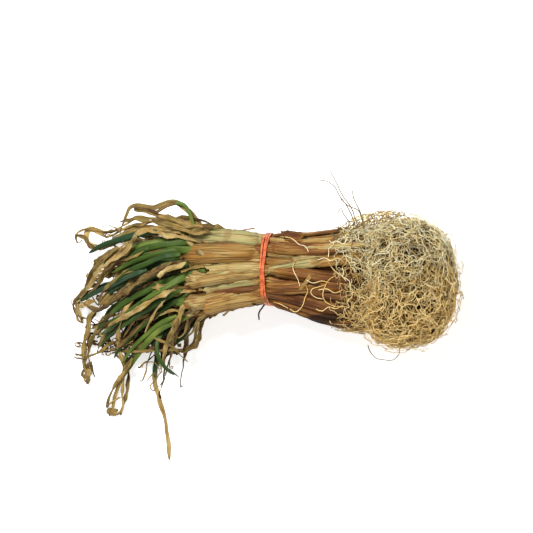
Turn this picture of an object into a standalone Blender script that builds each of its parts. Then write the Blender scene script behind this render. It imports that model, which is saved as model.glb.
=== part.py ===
# Onion transplant bunch: onion seedlings with their roots and leaves on, held at the waist by a
# rubber band and lying on a flat surface. Metres, +Z up.
# The bunch is laid out with +X towards the roots, +Y across it, and its design origin on the
# surface straight below the middle of the band. The last step moves everything so that the
# origin is the middle of the footprint.

import math
import random

import bmesh
import bpy
import numpy as np
from mathutils import Vector, geometry, noise

MM = 0.001
SEED = 11

# The bundle of stems: seedlings in each ring from the middle out, and their size.
RING_COUNTS = (1, 6, 12, 18)
STEM_RADIUS = (2.9 * MM, 3.9 * MM)
STOUT_RADIUS = 5.2 * MM
STOUT_STEMS = (21, 25, 30)
PLATE_X = 76 * MM
SHEATH_TOP_X = (-62 * MM, -44 * MM)

# The bundle's outline at some places along it: half width, half height and centre.
STATION_X = np.array((-62, -48, -34, -19, 0, 25, 40, 59, 76)) * MM
STATION_HALF_Y = np.array((35, 32, 28, 25.5, 24.5, 29, 33, 36, 36)) * MM
STATION_HALF_Z = np.array((22, 22, 22, 21.5, 21.5, 25, 27, 29, 29)) * MM
STATION_Y = np.array((-3, -3, -3, -1, 0, -4, -6.5, -7, -8)) * MM
STATION_Z = np.array((26, 27, 29, 31, 33, 34, 35, 35, 35)) * MM
STEM_STEPS_X = np.array((76, 62, 42, 20, 0, -20, -38)) * MM
STEM_SIDES = 6
STEM_SWIRL = 0.16
SWELL_X = np.array((-62, -30, 0, 30, 62, 76)) * MM
SWELL = (0.98, 1.0, 0.96, 1.0, 1.0, 0.9)

# The leaves that the rule grows, by kind: half width, half thickness and length.
GREEN_HALF = (2.7 * MM, 1.7 * MM)
GREEN_LENGTH = (58 * MM, 88 * MM)
DRY_HALF = (2.1 * MM, 0.45 * MM)
DRY_LENGTH = (45 * MM, 85 * MM)
LEAF_SIZE = (0.8, 1.15)
LEAF_ROOT = 0.45
LEAF_OFFSET = 0.4
LEAF_PLACE = 0.9
LEAF_TAPER = 0.62
TAPER_POWER = 1.6
GREEN_SIDES = 5
DRY_SIDES = 4
GREEN_TWIST = 0.3
DRY_TWIST = 1.6
TIP_HALF = 0.4 * MM
LEAST_HALF_THICK = 0.35 * MM
LEAF_STEP = 16 * MM
THIRD_LEAF_SHARE = 0.55
CROWDING = 20 * MM
CLEARANCE = 0.35 * MM

# Leaves that show by themselves, as points in millimetres from the sheath to the tip.
GREEN_ROUTES = (
    ((-64, 29, 40), (-94, 31, 42), (-108, 25, 38), (-122, 19, 34), (-132, 14, 31), (-133, 20, 31),
     (-142, 28, 30), (-133, 30, 31), (-119, 25, 32)),
    ((-64, 21, 44), (-80, 21, 44), (-96, 18, 41), (-112, 10, 36)),
    ((-64, 16, 46), (-82, 16, 44), (-98, 11, 40), (-115, 3, 34)),
    ((-66, 11, 46), (-84, 10, 43), (-101, 4, 37), (-112, -3, 30)),
    ((-68, 6, 44), (-88, 2, 41), (-101, -5, 34), (-114, -14, 27), (-128, -27, 18)),
    ((-88, 3, 30), (-106, -4, 27), (-117, -10, 22), (-128, -15, 18), (-138, -19, 14),
     (-145, -26, 9), (-143, -34, 6), (-140, -40, 3)),
    ((-64, -9, 43), (-84, -13, 38), (-100, -19, 30), (-113, -27, 22), (-125, -37, 13)),
    ((-66, -15, 36), (-86, -22, 31), (-102, -33, 22), (-114, -43, 13), (-125, -52, 7)),
    ((-62, -27, 30), (-78, -35, 24), (-89, -45, 17), (-97, -59, 10), (-107, -77, 5), (-114, -90, 3),
     (-119, -103, 3), (-117, -110, 3)),
    ((-66, -34, 22), (-78, -43, 15), (-84, -59, 8), (-86, -75, 4), (-86, -87, 2), (-81, -102, 2),
     (-77, -117, 1), (-75, -132, 1), (-75, -145, 1)),
    ((-68, -31, 14), (-79, -47, 6), (-82, -62, 3), (-79, -71, 2), (-73, -78, 2), (-67, -81, 2)),
    ((-46, 27, 46), (-54, 36, 49), (-59, 46, 50), (-66, 50, 49), (-77, 47, 48), (-88, 46, 47),
     (-100, 48, 46), (-107, 41, 43), (-108, 33, 40)),
)
DRY_ROUTES = (
    ((-58, 31, 43), (-74, 36, 46), (-88, 39, 47), (-100, 41, 44), (-109, 36, 41)),
    ((-62, 24, 49), (-76, 28, 50), (-89, 30, 49), (-99, 24, 46), (-110, 15, 41), (-119, 9, 36),
     (-127, 2, 28), (-132, -8, 20), (-138, -13, 13), (-145, -22, 7)),
    ((-66, 3, 48), (-80, 2, 47), (-95, -4, 42), (-108, -14, 34), (-119, -23, 24), (-131, -30, 14),
     (-136, -43, 7), (-137, -58, 3), (-135, -74, 2), (-131, -81, 2)),
    ((-62, -14, 44), (-78, -19, 42), (-96, -28, 33), (-108, -36, 24), (-121, -43, 15)),
    ((-70, -22, 40), (-80, -27, 36), (-88, -37, 29), (-91, -47, 21), (-81, -54, 12), (-68, -64, 5)),
    ((-94, -33, 22), (-106, -39, 15), (-111, -53, 8), (-108, -66, 4), (-106, -80, 3), (-108, -92, 3),
     (-107, -102, 3), (-112, -110, 3)),
    ((-47, -34, 22), (-53, -46, 12), (-55, -57, 5), (-62, -62, 3), (-76, -61, 2), (-90, -61, 2),
     (-104, -61, 2), (-116, -62, 2)),
    ((-58, -33, 16), (-66, -42, 8), (-71, -55, 4)),
)

# How a growing leaf runs: heading in plan at each side of the bundle, and how far it sinks.
HEADING_UPPER = math.radians(176)
HEADING_LOWER = math.radians(212)
HEADING_SPREAD = {"green": math.radians(9), "dry": math.radians(15)}
TURN = (math.radians(4), math.radians(34))
DRY_WANDER = math.radians(13)
TIP_SINK = 0.62
TIP_SINK_SPREAD = (0.7, 1.25)
HEIGHT_WANDER = 0.6 * MM

# How the bunch settles: rounds, the weights of its points and how firmly they keep their place.
SETTLE_ROUNDS = 260
LAST_ROUNDS = 160
STEM_WEIGHT = 0.25
LEAF_WEIGHT = 1.0
STEM_HOLD = 0.075
LEAF_HOLD = 0.006
BEND_HOLD = 0.3
LENGTH_HOLD = 0.25
PAIR_MARGIN = 2 * MM
PAIR_ROUNDS = 12

# The root ball: a lumpy core that the roots stand out of.
CORE_CENTRE = Vector((104 * MM, -9.5 * MM, 33 * MM))
CORE_HALF = Vector((34 * MM, 42.5 * MM, 35 * MM))
CORE_SQUARENESS = 2.9
CORE_FACE_X = PLATE_X + 0.4 * MM
CORE_LUMP = 3.2 * MM
CORE_LUMPS = 4.2
CORE_NOISE_PLACE = Vector((3.1, 0.7, 5.2))
CORE_DETAIL = 3
ROOT_COUNT = 80
ROOT_RADIUS = 1.35 * MM
ROOT_POINTS = 6
ROOT_SIDES = 3
ROOT_TAPER = 0.45
ROOT_CLEARANCE = 0.7 * MM
ROOT_TOUCH = 0.35 * MM
ROOT_CURL = (-0.55, 0.55)
STEM_SIDE = -0.7
UNDERSIDE = -0.75
ROOT_CURL_WANDER = 0.25
ROOT_STEP = 0.22
ROOT_SUNK = 1.6 * MM
ROOT_FLOOR = ROOT_RADIUS + 0.4 * MM
ROOT_ROUNDS = 120
ROOT_RISE = (2.0 * MM, 6.5 * MM)
COLLAR_COUNT = 14
COLLAR_LENGTH = (8 * MM, 20 * MM)
COLLAR_SUNK = 9 * MM
COLLAR_OUT = 3 * MM
COLLAR_BEND = (-0.3, 0.3)
FREE_END_SHARE = 0.3
FREE_END_RISE = 0.62
HAIR_ROUTES = (
    ((84, 25, 48), (72, 41, 48), (63, 55, 47), (55, 66, 46), (50, 75, 45)),
    ((88, 28, 46), (74, 43, 45), (66, 57, 43), (59, 69, 42)),
    ((92, 26, 50), (80, 44, 51), (71, 58, 51)),
)

# The rubber band: one loop laid in turns side by side.
BAND_TURNS = 3
BAND_STEPS = 28
BAND_HALF = (0.75 * MM, 0.6 * MM)
BAND_PITCH = 1.75 * MM
BAND_GAP = 0.65 * MM
BAND_SIDES = 4
CROSSING_STEPS = 8
CROSSING_LIFT = 2.6

SHEATH, GREEN, DRY = range(3)
FINISHES = (
    ("onion_sheath", (0.55, 0.40, 0.20, 1.0), 0.6),
    ("onion_leaf", (0.07, 0.20, 0.06, 1.0), 0.45),
    ("withered_leaf", (0.45, 0.33, 0.16, 1.0), 0.8),
    ("dry_root", (0.58, 0.45, 0.26, 1.0), 0.9),
    ("rubber", (0.85, 0.20, 0.08, 1.0), 0.5),
)


def make_material(name, colour, roughness):
    material = bpy.data.materials.new(name)
    material.use_nodes = True
    shader = material.node_tree.nodes["Principled BSDF"]
    shader.inputs["Base Color"].default_value = colour
    shader.inputs["Roughness"].default_value = roughness
    return material


def at_station(x, values):
    return np.interp(x, STATION_X, values)


def resampled(route, step):
    """The route as points about step apart, with both its ends."""
    route = np.array(route, float)
    lengths = np.linalg.norm(np.diff(route, axis=0), axis=1)
    along = np.concatenate(([0.0], np.cumsum(lengths)))
    wanted = np.linspace(0.0, along[-1], max(2, round(along[-1] / step)) + 1)
    return np.stack([np.interp(wanted, along, route[:, axis]) for axis in range(3)], axis=1)


class Layout:
    """Centrelines of all the stems and leaves, as points that chains share."""

    def __init__(self):
        self.points = []
        self.reach = []
        self.floor = []
        self.owner = []
        self.weight = []
        self.chains = []

    def add(self, point, reach, floor, owner, weight):
        self.points.append(np.array(point, float))
        self.reach.append(reach)
        self.floor.append(floor)
        self.owner.append(owner)
        self.weight.append(weight)
        return len(self.points) - 1

    def chain(self, kind, owner, indices, **facts):
        self.chains.append({"kind": kind, "owner": owner, "indices": indices, **facts})


def lay_stem(layout, owner, ring_place, radius, rng):
    """A seedling's stem from its root plate to the top of its sheath."""
    top_x = rng.uniform(*SHEATH_TOP_X)
    steps = np.append(STEM_STEPS_X, top_x)
    angle, share = ring_place
    swirl = rng.uniform(-STEM_SWIRL, STEM_SWIRL)
    indices = []
    for x in steps:
        turned = angle + swirl * x / PLATE_X
        across = share * (at_station(x, STATION_HALF_Y) - radius)
        upward = share * (at_station(x, STATION_HALF_Z) - radius)
        y = at_station(x, STATION_Y) + across * math.cos(turned)
        z = at_station(x, STATION_Z) + upward * math.sin(turned)
        indices.append(layout.add((x, y, z), radius + CLEARANCE / 2, radius, owner, STEM_WEIGHT))
    layout.chain(SHEATH, owner, indices, radius=radius)


def leaf_route(start, kind, rng):
    """Points of a leaf by the rule: it fans out with its side of the bundle, bends and sinks."""
    side = (start[1] - STATION_HALF_Y[0]) / (-2 * STATION_HALF_Y[0])
    heading = HEADING_UPPER + (HEADING_LOWER - HEADING_UPPER) * min(max(side, 0.0), 1.0)
    heading += rng.gauss(0, HEADING_SPREAD["green" if kind == GREEN else "dry"])
    turn = rng.uniform(*TURN)
    length = rng.uniform(*(GREEN_LENGTH if kind == GREEN else DRY_LENGTH))
    count = max(3, round(length / LEAF_STEP))
    end_height = start[2] * (1 - TIP_SINK * rng.uniform(*TIP_SINK_SPREAD))
    point = np.array(start, float)
    route = []
    for step in range(1, count + 1):
        share = step / count
        heading += turn / count
        if kind == DRY:
            heading += rng.gauss(0, DRY_WANDER)
        point = point + length / count * np.array((math.cos(heading), math.sin(heading), 0.0))
        point[2] = start[2] + (end_height - start[2]) * share ** 1.5 + rng.gauss(0, HEIGHT_WANDER)
        route.append(point.copy())
    return route


def lay_leaf(layout, stem, kind, route, place, rng):
    """A leaf that starts inside the top of its stem's sheath and follows the route."""
    owner = stem["owner"]
    half_width, half_thick = GREEN_HALF if kind == GREEN else DRY_HALF
    size = rng.uniform(*LEAF_SIZE)
    half_width, half_thick = half_width * size, max(LEAST_HALF_THICK, half_thick * size)
    indices = list(stem["indices"][-2:])
    for step, point in enumerate(route):
        taper = 1 - LEAF_TAPER * ((step + 1) / len(route)) ** TAPER_POWER
        reach = half_width * taper + CLEARANCE
        indices.append(layout.add(point, reach, half_thick * taper, owner, LEAF_WEIGHT))
    twist = rng.uniform(-1.0, 1.0) * (GREEN_TWIST if kind == GREEN else DRY_TWIST)
    layout.chain(kind, owner, indices, half_width=half_width, half_thick=half_thick, place=place,
                 twist=twist)


def nearest_top(layout, stems, leaves, place):
    """The seedling whose sheath ends nearest to the place, those with fewer chosen leaves first."""
    def distance(stem):
        gap = np.linalg.norm(layout.points[stem["indices"][-1]] - place)
        return gap + CROWDING * len(leaves[stem["owner"]])
    return min(stems, key=distance)["owner"]


def plan_bunch(rng):
    """The bunch before it settles: stems in rings, chosen leaves, then leaves by the rule."""
    layout = Layout()
    stems = []
    for ring, count in enumerate(RING_COUNTS):
        for place in range(count):
            owner = len(stems)
            radius = STOUT_RADIUS if owner in STOUT_STEMS else rng.uniform(*STEM_RADIUS)
            angle = math.tau * (place + 0.5 * (ring % 2)) / count
            lay_stem(layout, owner, (angle, ring / (len(RING_COUNTS) - 1)), radius, rng)
            stems.append(layout.chains[-1])
    leaves = {owner: [] for owner in range(len(stems))}
    for kind, routes in ((GREEN, GREEN_ROUTES), (DRY, DRY_ROUTES)):
        for route in routes:
            route = np.array(route) * MM
            owner = nearest_top(layout, stems, leaves, route[0])
            leaves[owner].append((kind, resampled(route, LEAF_STEP)))
    for stem in stems:
        own = leaves[stem["owner"]]
        start = layout.points[stem["indices"][-1]]
        wanted = [GREEN, DRY] + ([rng.choice((GREEN, DRY))] if rng.random() < THIRD_LEAF_SHARE else [])
        for kind in wanted[len(own):]:
            own.append((kind, leaf_route(start, kind, rng)))
        for place, (kind, route) in enumerate(own):
            lay_leaf(layout, stem, kind, route, place / len(own), rng)
    return layout


def near_pairs(points, reach, owner, links, margin):
    """Pairs of links of different seedlings that may come to touch."""
    a, b = points[links[:, 0]], points[links[:, 1]]
    low = np.minimum(a, b) - reach[links].max(axis=1)[:, None] - margin
    high = np.maximum(a, b) + reach[links].max(axis=1)[:, None] + margin
    first, second = np.triu_indices(len(links), 1)
    apart = owner[links[first, 0]] != owner[links[second, 0]]
    first, second = first[apart], second[apart]
    meet = np.ones(len(first), bool)
    for axis in range(3):
        meet &= (low[first, axis] < high[second, axis]) & (low[second, axis] < high[first, axis])
    return first[meet], second[meet]


def closest(p, d, q, e):
    """Shares along p + s d and q + t e of their closest points, for arrays of segments."""
    r = p - q
    dd, ee = (d * d).sum(1) + 1e-12, (e * e).sum(1) + 1e-12
    dr, er, de = (d * r).sum(1), (e * r).sum(1), (d * e).sum(1)
    s = np.clip((de * er - dr * ee) / np.maximum(dd * ee - de * de, 1e-14), 0, 1)
    t = np.clip((de * s + er) / ee, 0, 1)
    s = np.clip((de * t - dr) / dd, 0, 1)
    return s, t


def push_apart(points, reach, weight, links, pairs):
    """Moves links that are nearer than their reaches allow apart, the lighter one more.

    Gives each pair's shortfall before the move, in the pairs' order.
    """
    i, j = links[pairs[0]].T
    k, m = links[pairs[1]].T
    s, t = closest(points[i], points[j] - points[i], points[k], points[m] - points[k])
    s, t = s[:, None], t[:, None]
    between = points[i] + s * (points[j] - points[i]) - points[k] - t * (points[m] - points[k])
    distance = np.linalg.norm(between, axis=1, keepdims=True)
    first_reach = (1 - s) * reach[i, None] + s * reach[j, None]
    second_reach = (1 - t) * reach[k, None] + t * reach[m, None]
    short = first_reach + second_reach - distance
    touching = short[:, 0] > 0
    push = np.where(distance > 1e-7, between / np.maximum(distance, 1e-7), (0, 0, 1)) * short
    first = weight[i, None] / (weight[i, None] + weight[k, None] + 1e-9)
    move, count = np.zeros_like(points), np.zeros((len(points), 1))
    for index, share, part in ((i, 1 - s, first), (j, s, first), (k, 1 - t, first - 1), (m, t, first - 1)):
        np.add.at(move, index[touching], (part * share * push)[touching])
        np.add.at(count, index[touching], share[touching])
    points += np.where(weight[:, None] > 0, move / np.maximum(count, 1), 0)
    return short[:, 0]


def settle(layout):
    """Lets the bunch settle: seedlings push apart, keep their lengths and stay above the surface."""
    points = np.array(layout.points)
    reach, floor = np.array(layout.reach), np.array(layout.floor)
    owner, weight = np.array(layout.owner), np.array(layout.weight)
    hold = np.where(weight < LEAF_WEIGHT, STEM_HOLD, LEAF_HOLD)[:, None]
    planned = points.copy()
    runs = [chain["indices"] for chain in layout.chains]
    plates = [chain["indices"][0] for chain in layout.chains if chain["kind"] == SHEATH]
    links = np.array(sorted({link for run in runs for link in zip(run, run[1:])}))
    bends = np.array([bend for run in runs for bend in zip(run, run[1:], run[2:])])
    lengths = np.linalg.norm(points[links[:, 0]] - points[links[:, 1]], axis=1, keepdims=True)
    curl = points[bends[:, 1]] - (points[bends[:, 0]] + points[bends[:, 2]]) / 2
    for turn in range(SETTLE_ROUNDS + LAST_ROUNDS):
        if turn % PAIR_ROUNDS == 0:
            pairs = near_pairs(points, reach, owner, links, PAIR_MARGIN)
        if turn < SETTLE_ROUNDS:
            points += hold * (planned - points)
            move, count = np.zeros_like(points), np.zeros((len(points), 1))
            straight = (points[bends[:, 0]] + points[bends[:, 2]]) / 2 + curl
            np.add.at(move, bends[:, 1], straight - points[bends[:, 1]])
            np.add.at(count, bends[:, 1], 1)
            points += BEND_HOLD * move / np.maximum(count, 1)
            d = points[links[:, 1]] - points[links[:, 0]]
            size = np.linalg.norm(d, axis=1, keepdims=True)
            stretch = LENGTH_HOLD * (size - lengths) / size * d
            np.add.at(points, links[:, 0], stretch)
            np.add.at(points, links[:, 1], -stretch)
        short = push_apart(points, reach, weight, links, pairs)
        points[:, 2] = np.maximum(points[:, 2], floor)
        points[plates, 0] = PLATE_X
    print(f"deepest touch left: {short.max() / MM:.3f} mm")
    layout.points = points


def frames_along(points, twists):
    """Side and upward directions at each point, turned by its twist."""
    tangents = np.gradient(points, axis=0)
    sides, ups, last = [], [], None
    for tangent, twist in zip(tangents, twists):
        tangent = Vector(tangent).normalized()
        side = Vector((0, 0, 1)).cross(tangent)
        if last is not None and side.length < 0.35:
            side = last - tangent * last.dot(tangent)
        side.normalize()
        if last is not None and side.dot(last) < 0:
            side = -side
        last = side
        up = tangent.cross(side)
        sides.append(side * math.cos(twist) + up * math.sin(twist))
        ups.append(up * math.cos(twist) - side * math.sin(twist))
    return sides, ups


def bridged(bm, rings):
    """Faces between each ring of vertices and the one after it."""
    for ring, after in zip(rings, rings[1:]):
        for k in range(len(ring)):
            m = (k + 1) % len(ring)
            bm.faces.new((ring[k], ring[m], after[m], after[k]))


def finished_mesh(bm, name):
    bmesh.ops.recalc_face_normals(bm, faces=bm.faces)
    mesh = bpy.data.meshes.new(name)
    bm.to_mesh(mesh)
    bm.free()
    return mesh


def tube_mesh(points, half_widths, half_thicks, sides, twists=None, flat_start_x=None):
    """A capped tube of elliptic section along the points, nowhere below the surface."""
    points = np.array(points, float)
    if twists is None:
        twists = np.zeros(len(points))
    across, ups = frames_along(points, twists)
    bm = bmesh.new()
    rings = []
    for n, point in enumerate(points):
        ring = []
        for k in range(sides):
            angle = math.tau * (k + 0.5) / sides
            sideways = across[n] * (half_widths[n] * math.cos(angle))
            upward = ups[n] * (half_thicks[n] * math.sin(angle))
            corner = Vector(point) + sideways + upward
            if n == 0 and flat_start_x is not None:
                corner.x = flat_start_x
            corner.z = max(corner.z, 0.0)
            ring.append(bm.verts.new(corner))
        rings.append(ring)
    bridged(bm, rings)
    bm.faces.new(rings[0][::-1])
    bm.faces.new(rings[-1])
    return finished_mesh(bm, "tube")


def make_object(name, mesh, materials, finish=0):
    for material in materials:
        mesh.materials.append(material)
    for face in mesh.polygons:
        face.material_index = finish
    obj = bpy.data.objects.new(name, mesh)
    bpy.context.scene.collection.objects.link(obj)
    return obj


def largest_shell(mesh):
    """The mesh without its smaller shells: hollows that the union sealed, and loose scraps."""
    bm = bmesh.new()
    bm.from_mesh(mesh)
    bmesh.ops.triangulate(bm, faces=bm.faces)
    sharing = {}
    for face in bm.faces:
        for edge in face.edges:
            sharing.setdefault(frozenset(edge.verts), []).append(face)
    left, shells = set(bm.faces), []
    while left:
        shell, front = [], [left.pop()]
        while front:
            face = front.pop()
            shell.append(face)
            sharers = [sharing[frozenset(edge.verts)] for edge in face.edges]
            found = {other for faces in sharers if len(faces) == 2 for other in faces} & left
            left -= found
            front.extend(found)
        shells.append(shell)
    shells.sort(key=len)
    for shell in shells[:-1]:
        bmesh.ops.delete(bm, geom=shell, context="FACES")
    bm.to_mesh(mesh)
    bm.free()
    return mesh


def fuse(obj, others, solver):
    """Joins the others to obj in one Boolean union, and removes them."""
    group = bpy.data.collections.new(obj.name + "_repeats")
    bpy.context.scene.collection.children.link(group)
    for other in others:
        bpy.context.scene.collection.objects.unlink(other)
        group.objects.link(other)
    union = obj.modifiers.new("union", "BOOLEAN")
    union.operation = "UNION"
    union.operand_type = "COLLECTION"
    union.collection = group
    union.solver = solver
    bpy.context.view_layer.update()
    graph = bpy.context.evaluated_depsgraph_get()
    joined = bpy.data.meshes.new_from_object(obj.evaluated_get(graph))
    obj.modifiers.clear()
    obj.data = largest_shell(joined)
    for other in list(group.objects):
        bpy.data.objects.remove(other)
    bpy.data.collections.remove(group)
    return obj


def stem_mesh(layout, stem):
    """A stem: a little swollen at its root plate, even through the band, closing at the sheath."""
    points = layout.points[stem["indices"]]
    radii = stem["radius"] * np.interp(points[:, 0], SWELL_X, SWELL)
    return tube_mesh(points, radii, radii, STEM_SIDES, flat_start_x=PLATE_X)


def leaf_mesh(layout, leaf, stem):
    """A leaf: a flattened tube if green, a twisted ribbon if withered, from inside the sheath."""
    points = layout.points[leaf["indices"]].copy()
    share = np.linspace(0, 1, len(points))
    taper = 1 - LEAF_TAPER * share ** TAPER_POWER
    width, thick = leaf["half_width"] * taper, leaf["half_thick"] * taper
    width[0] = thick[0] = LEAF_ROOT * stem["radius"]
    width[-1], thick[-1] = 2 * TIP_HALF, TIP_HALF
    angle = math.tau * leaf["place"] + LEAF_PLACE
    points[:2] += LEAF_OFFSET * stem["radius"] * np.array((0, math.cos(angle), math.sin(angle)))
    sides = GREEN_SIDES if leaf["kind"] == GREEN else DRY_SIDES
    return tube_mesh(points, width, np.maximum(thick, LEAST_HALF_THICK), sides, leaf["twist"] * share)


def make_seedlings(layout, materials):
    """One object for each seedling: its stem with its own leaves joined on."""
    stems = [c for c in layout.chains if c["kind"] == SHEATH]
    for stem in stems:
        name = f"seedling_{stem['owner'] + 1:02d}"
        seedling = make_object(name, stem_mesh(layout, stem), materials[:3], SHEATH)
        leaves = [make_object("leaf", leaf_mesh(layout, leaf, stem), materials[:3], leaf["kind"])
                  for leaf in layout.chains if leaf["kind"] != SHEATH and leaf["owner"] == stem["owner"]]
        fuse(seedling, leaves, "MANIFOLD")
    return stems


def core_surface(direction):
    """Distance of the core's surface from its centre in that direction, which is a unit vector."""
    total = sum(abs(direction[axis] / CORE_HALF[axis]) ** CORE_SQUARENESS for axis in range(3))
    smooth = total ** (-1 / CORE_SQUARENESS)
    crease = abs(noise.noise(direction * CORE_LUMPS + CORE_NOISE_PLACE))
    return smooth + CORE_LUMP * (0.5 - 2 * crease)


def core_mesh():
    """The root ball's core, cut flat where it rests and where the stems meet it."""
    bm = bmesh.new()
    bmesh.ops.create_icosphere(bm, subdivisions=CORE_DETAIL, radius=1.0)
    for vertex in bm.verts:
        direction = vertex.co.normalized()
        vertex.co = CORE_CENTRE + direction * core_surface(direction)
    for place, normal in (((0, 0, 0), (0, 0, -1)), ((CORE_FACE_X, 0, 0), (-1, 0, 0))):
        whole = bm.verts[:] + bm.edges[:] + bm.faces[:]
        cut = bmesh.ops.bisect_plane(bm, geom=whole, plane_co=place, plane_no=normal, clear_outer=True)
        rim = [item for item in cut["geom_cut"] if isinstance(item, bmesh.types.BMEdge)]
        bmesh.ops.edgenet_fill(bm, edges=rim)
    return finished_mesh(bm, "core")


def clear_of_stems(routes, layout, stems):
    """The roots' routes, bent clear of the stems, without those that stay too near one."""
    points, reach, weight, owner, links = [], [], [], [], []
    lines = [(layout.points[s["indices"][:4]], s["radius"], 0.0, s["owner"]) for s in stems]
    lines += [(route, ROOT_RADIUS + ROOT_CLEARANCE, 1.0, -1) for route in routes]
    for line, line_reach, line_weight, line_owner in lines:
        first = len(points)
        points.extend(line)
        reach += [line_reach] * len(line)
        weight += [line_weight] * len(line)
        owner += [line_owner] * len(line)
        links += [(n, n + 1) for n in range(first, first + len(line) - 1)]
    points, reach, weight, owner, links = map(np.array, (points, reach, weight, owner, links))
    light = weight > 0
    ends = np.cumsum([len(line[0]) for line in lines])
    for turn in range(ROOT_ROUNDS):
        if turn % PAIR_ROUNDS == 0 or turn == ROOT_ROUNDS - 1:
            pairs = near_pairs(points, reach, owner, links, PAIR_MARGIN)
            loose = light[links[pairs[0], 0]] | light[links[pairs[1], 0]]
            pairs = pairs[0][loose], pairs[1][loose]
        short = push_apart(points, reach, weight, links, pairs)
        points[light, 2] = np.maximum(points[light, 2], ROOT_FLOOR)
    short = push_apart(points.copy(), reach, weight, links, pairs)
    tight = np.maximum(links[pairs[0], 0], links[pairs[1], 0])[short > ROOT_TOUCH]
    crossing = set(np.searchsorted(ends, tight, side="right"))
    print(f"roots left out because a stem is in their way: {len(crossing)}")
    kept = np.split(points, ends[:-1])
    return [kept[n] for n in range(len(stems), len(lines)) if n not in crossing]


def spread_direction(number, count):
    """Directions spread evenly over a sphere."""
    z = 1 - (2 * number + 1) / count
    angle = number * math.pi * (3 - math.sqrt(5))
    flat = math.sqrt(1 - z * z)
    return Vector((z, flat * math.cos(angle), flat * math.sin(angle)))


def root_route(direction, rng):
    """A root's points: a curling walk over the core that rises out of it and sinks back in."""
    around = rng.uniform(0, math.tau)
    across = direction.orthogonal().normalized()
    heading = across * math.cos(around) + direction.cross(across) * math.sin(around)
    curl = rng.uniform(*ROOT_CURL)
    rise = rng.uniform(*ROOT_RISE)
    open_share = FREE_END_RISE if rng.random() < FREE_END_SHARE else 1.0
    route = []
    for step in range(ROOT_POINTS):
        share = step / (ROOT_POINTS - 1)
        lift = -ROOT_SUNK + (ROOT_SUNK + rise) * math.sin(math.pi * share * open_share)
        place = CORE_CENTRE + direction * (core_surface(direction) + lift)
        place.z = max(place.z, ROOT_FLOOR)
        route.append(place)
        direction = (direction + heading * ROOT_STEP).normalized()
        heading = (heading + direction.cross(heading) * curl).normalized()
        heading = (heading - direction * heading.dot(direction)).normalized()
        curl += rng.gauss(0, ROOT_CURL_WANDER)
    return np.array(route)


def collar_route(number, rng):
    """A root that leaves the core's rim and runs back over the outside of the stems."""
    angle = math.tau * (number + rng.uniform(-0.3, 0.3)) / COLLAR_COUNT
    reach = rng.uniform(*COLLAR_LENGTH)
    bend = rng.uniform(*COLLAR_BEND)
    route = []
    for share in np.linspace(0, 1, ROOT_POINTS):
        x = CORE_FACE_X + COLLAR_SUNK - (reach + COLLAR_SUNK) * share
        turned = angle + bend * share
        y = STATION_Y[-1] + (STATION_HALF_Y[-1] + COLLAR_OUT) * math.cos(turned)
        z = STATION_Z[-1] + (STATION_HALF_Z[-1] + COLLAR_OUT) * math.sin(turned)
        route.append((x, y, max(z, ROOT_FLOOR)))
    return np.array(route)


def make_roots(layout, stems, material, rng):
    """The root ball: its core with the roots sunk in it and in each other, as one body."""
    ball = make_object("root_tangle", core_mesh(), [material])
    starts = [spread_direction(number, ROOT_COUNT) for number in range(ROOT_COUNT)]
    routes = [root_route(start, rng) for start in starts if start.x > STEM_SIDE and start.z > UNDERSIDE]
    routes += [collar_route(number, rng) for number in range(COLLAR_COUNT)]
    routes += [np.array(route) * MM for route in HAIR_ROUTES]
    roots = []
    for route in clear_of_stems(routes, layout, stems):
        radii = ROOT_RADIUS * (1 - ROOT_TAPER * np.linspace(0, 1, len(route)))
        roots.append(make_object("root", tube_mesh(route, radii, radii, ROOT_SIDES), [material]))
    return fuse(ball, roots, "MANIFOLD")


def band_outline(layout, stems):
    """The stretched outline round the stems where the band sits, as points (y, z)."""
    angles = np.linspace(0, math.tau, BAND_STEPS, endpoint=False)
    corners = []
    for stem in stems:
        line = layout.points[stem["indices"]][::-1]
        reach = stem["radius"] + BAND_GAP + BAND_HALF[1]
        for x in (-BAND_PITCH * BAND_TURNS / 2, 0, BAND_PITCH * BAND_TURNS / 2):
            y, z = (np.interp(x, line[:, 0], line[:, axis]) for axis in (1, 2))
            corners += [Vector((y + reach * math.cos(a), z + reach * math.sin(a))) for a in angles]
    outline = np.array([corners[n] for n in geometry.convex_hull_2d(corners)])
    outline = np.vstack((outline, outline[:1]))
    along = np.concatenate(([0], np.cumsum(np.linalg.norm(np.diff(outline, axis=0), axis=1))))
    wanted = np.linspace(0, along[-1], BAND_STEPS + 1)[:-1]
    return np.stack([np.interp(wanted, along, outline[:, axis]) for axis in range(2)], axis=1)


def band_route(outline, middle):
    """The closed route of the strand: turns side by side, then back across them underneath."""
    lowest = int(np.argmin(outline[:, 1]))
    total = BAND_TURNS * BAND_STEPS
    winding = total - CROSSING_STEPS
    width = BAND_PITCH * (BAND_TURNS - 1 / 2)
    points = []
    for step in range(total):
        yz = outline[(lowest + step) % BAND_STEPS]
        crossing = max(0.0, (step - winding) / CROSSING_STEPS)
        along = 1 - crossing if crossing else step / winding
        out = (yz - middle) / np.linalg.norm(yz - middle)
        yz = yz + out * (CROSSING_LIFT * BAND_HALF[1] * math.sin(math.pi * crossing) ** 0.5)
        points.append((width * (along - 0.5), yz[0], yz[1]))
    return points


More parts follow.
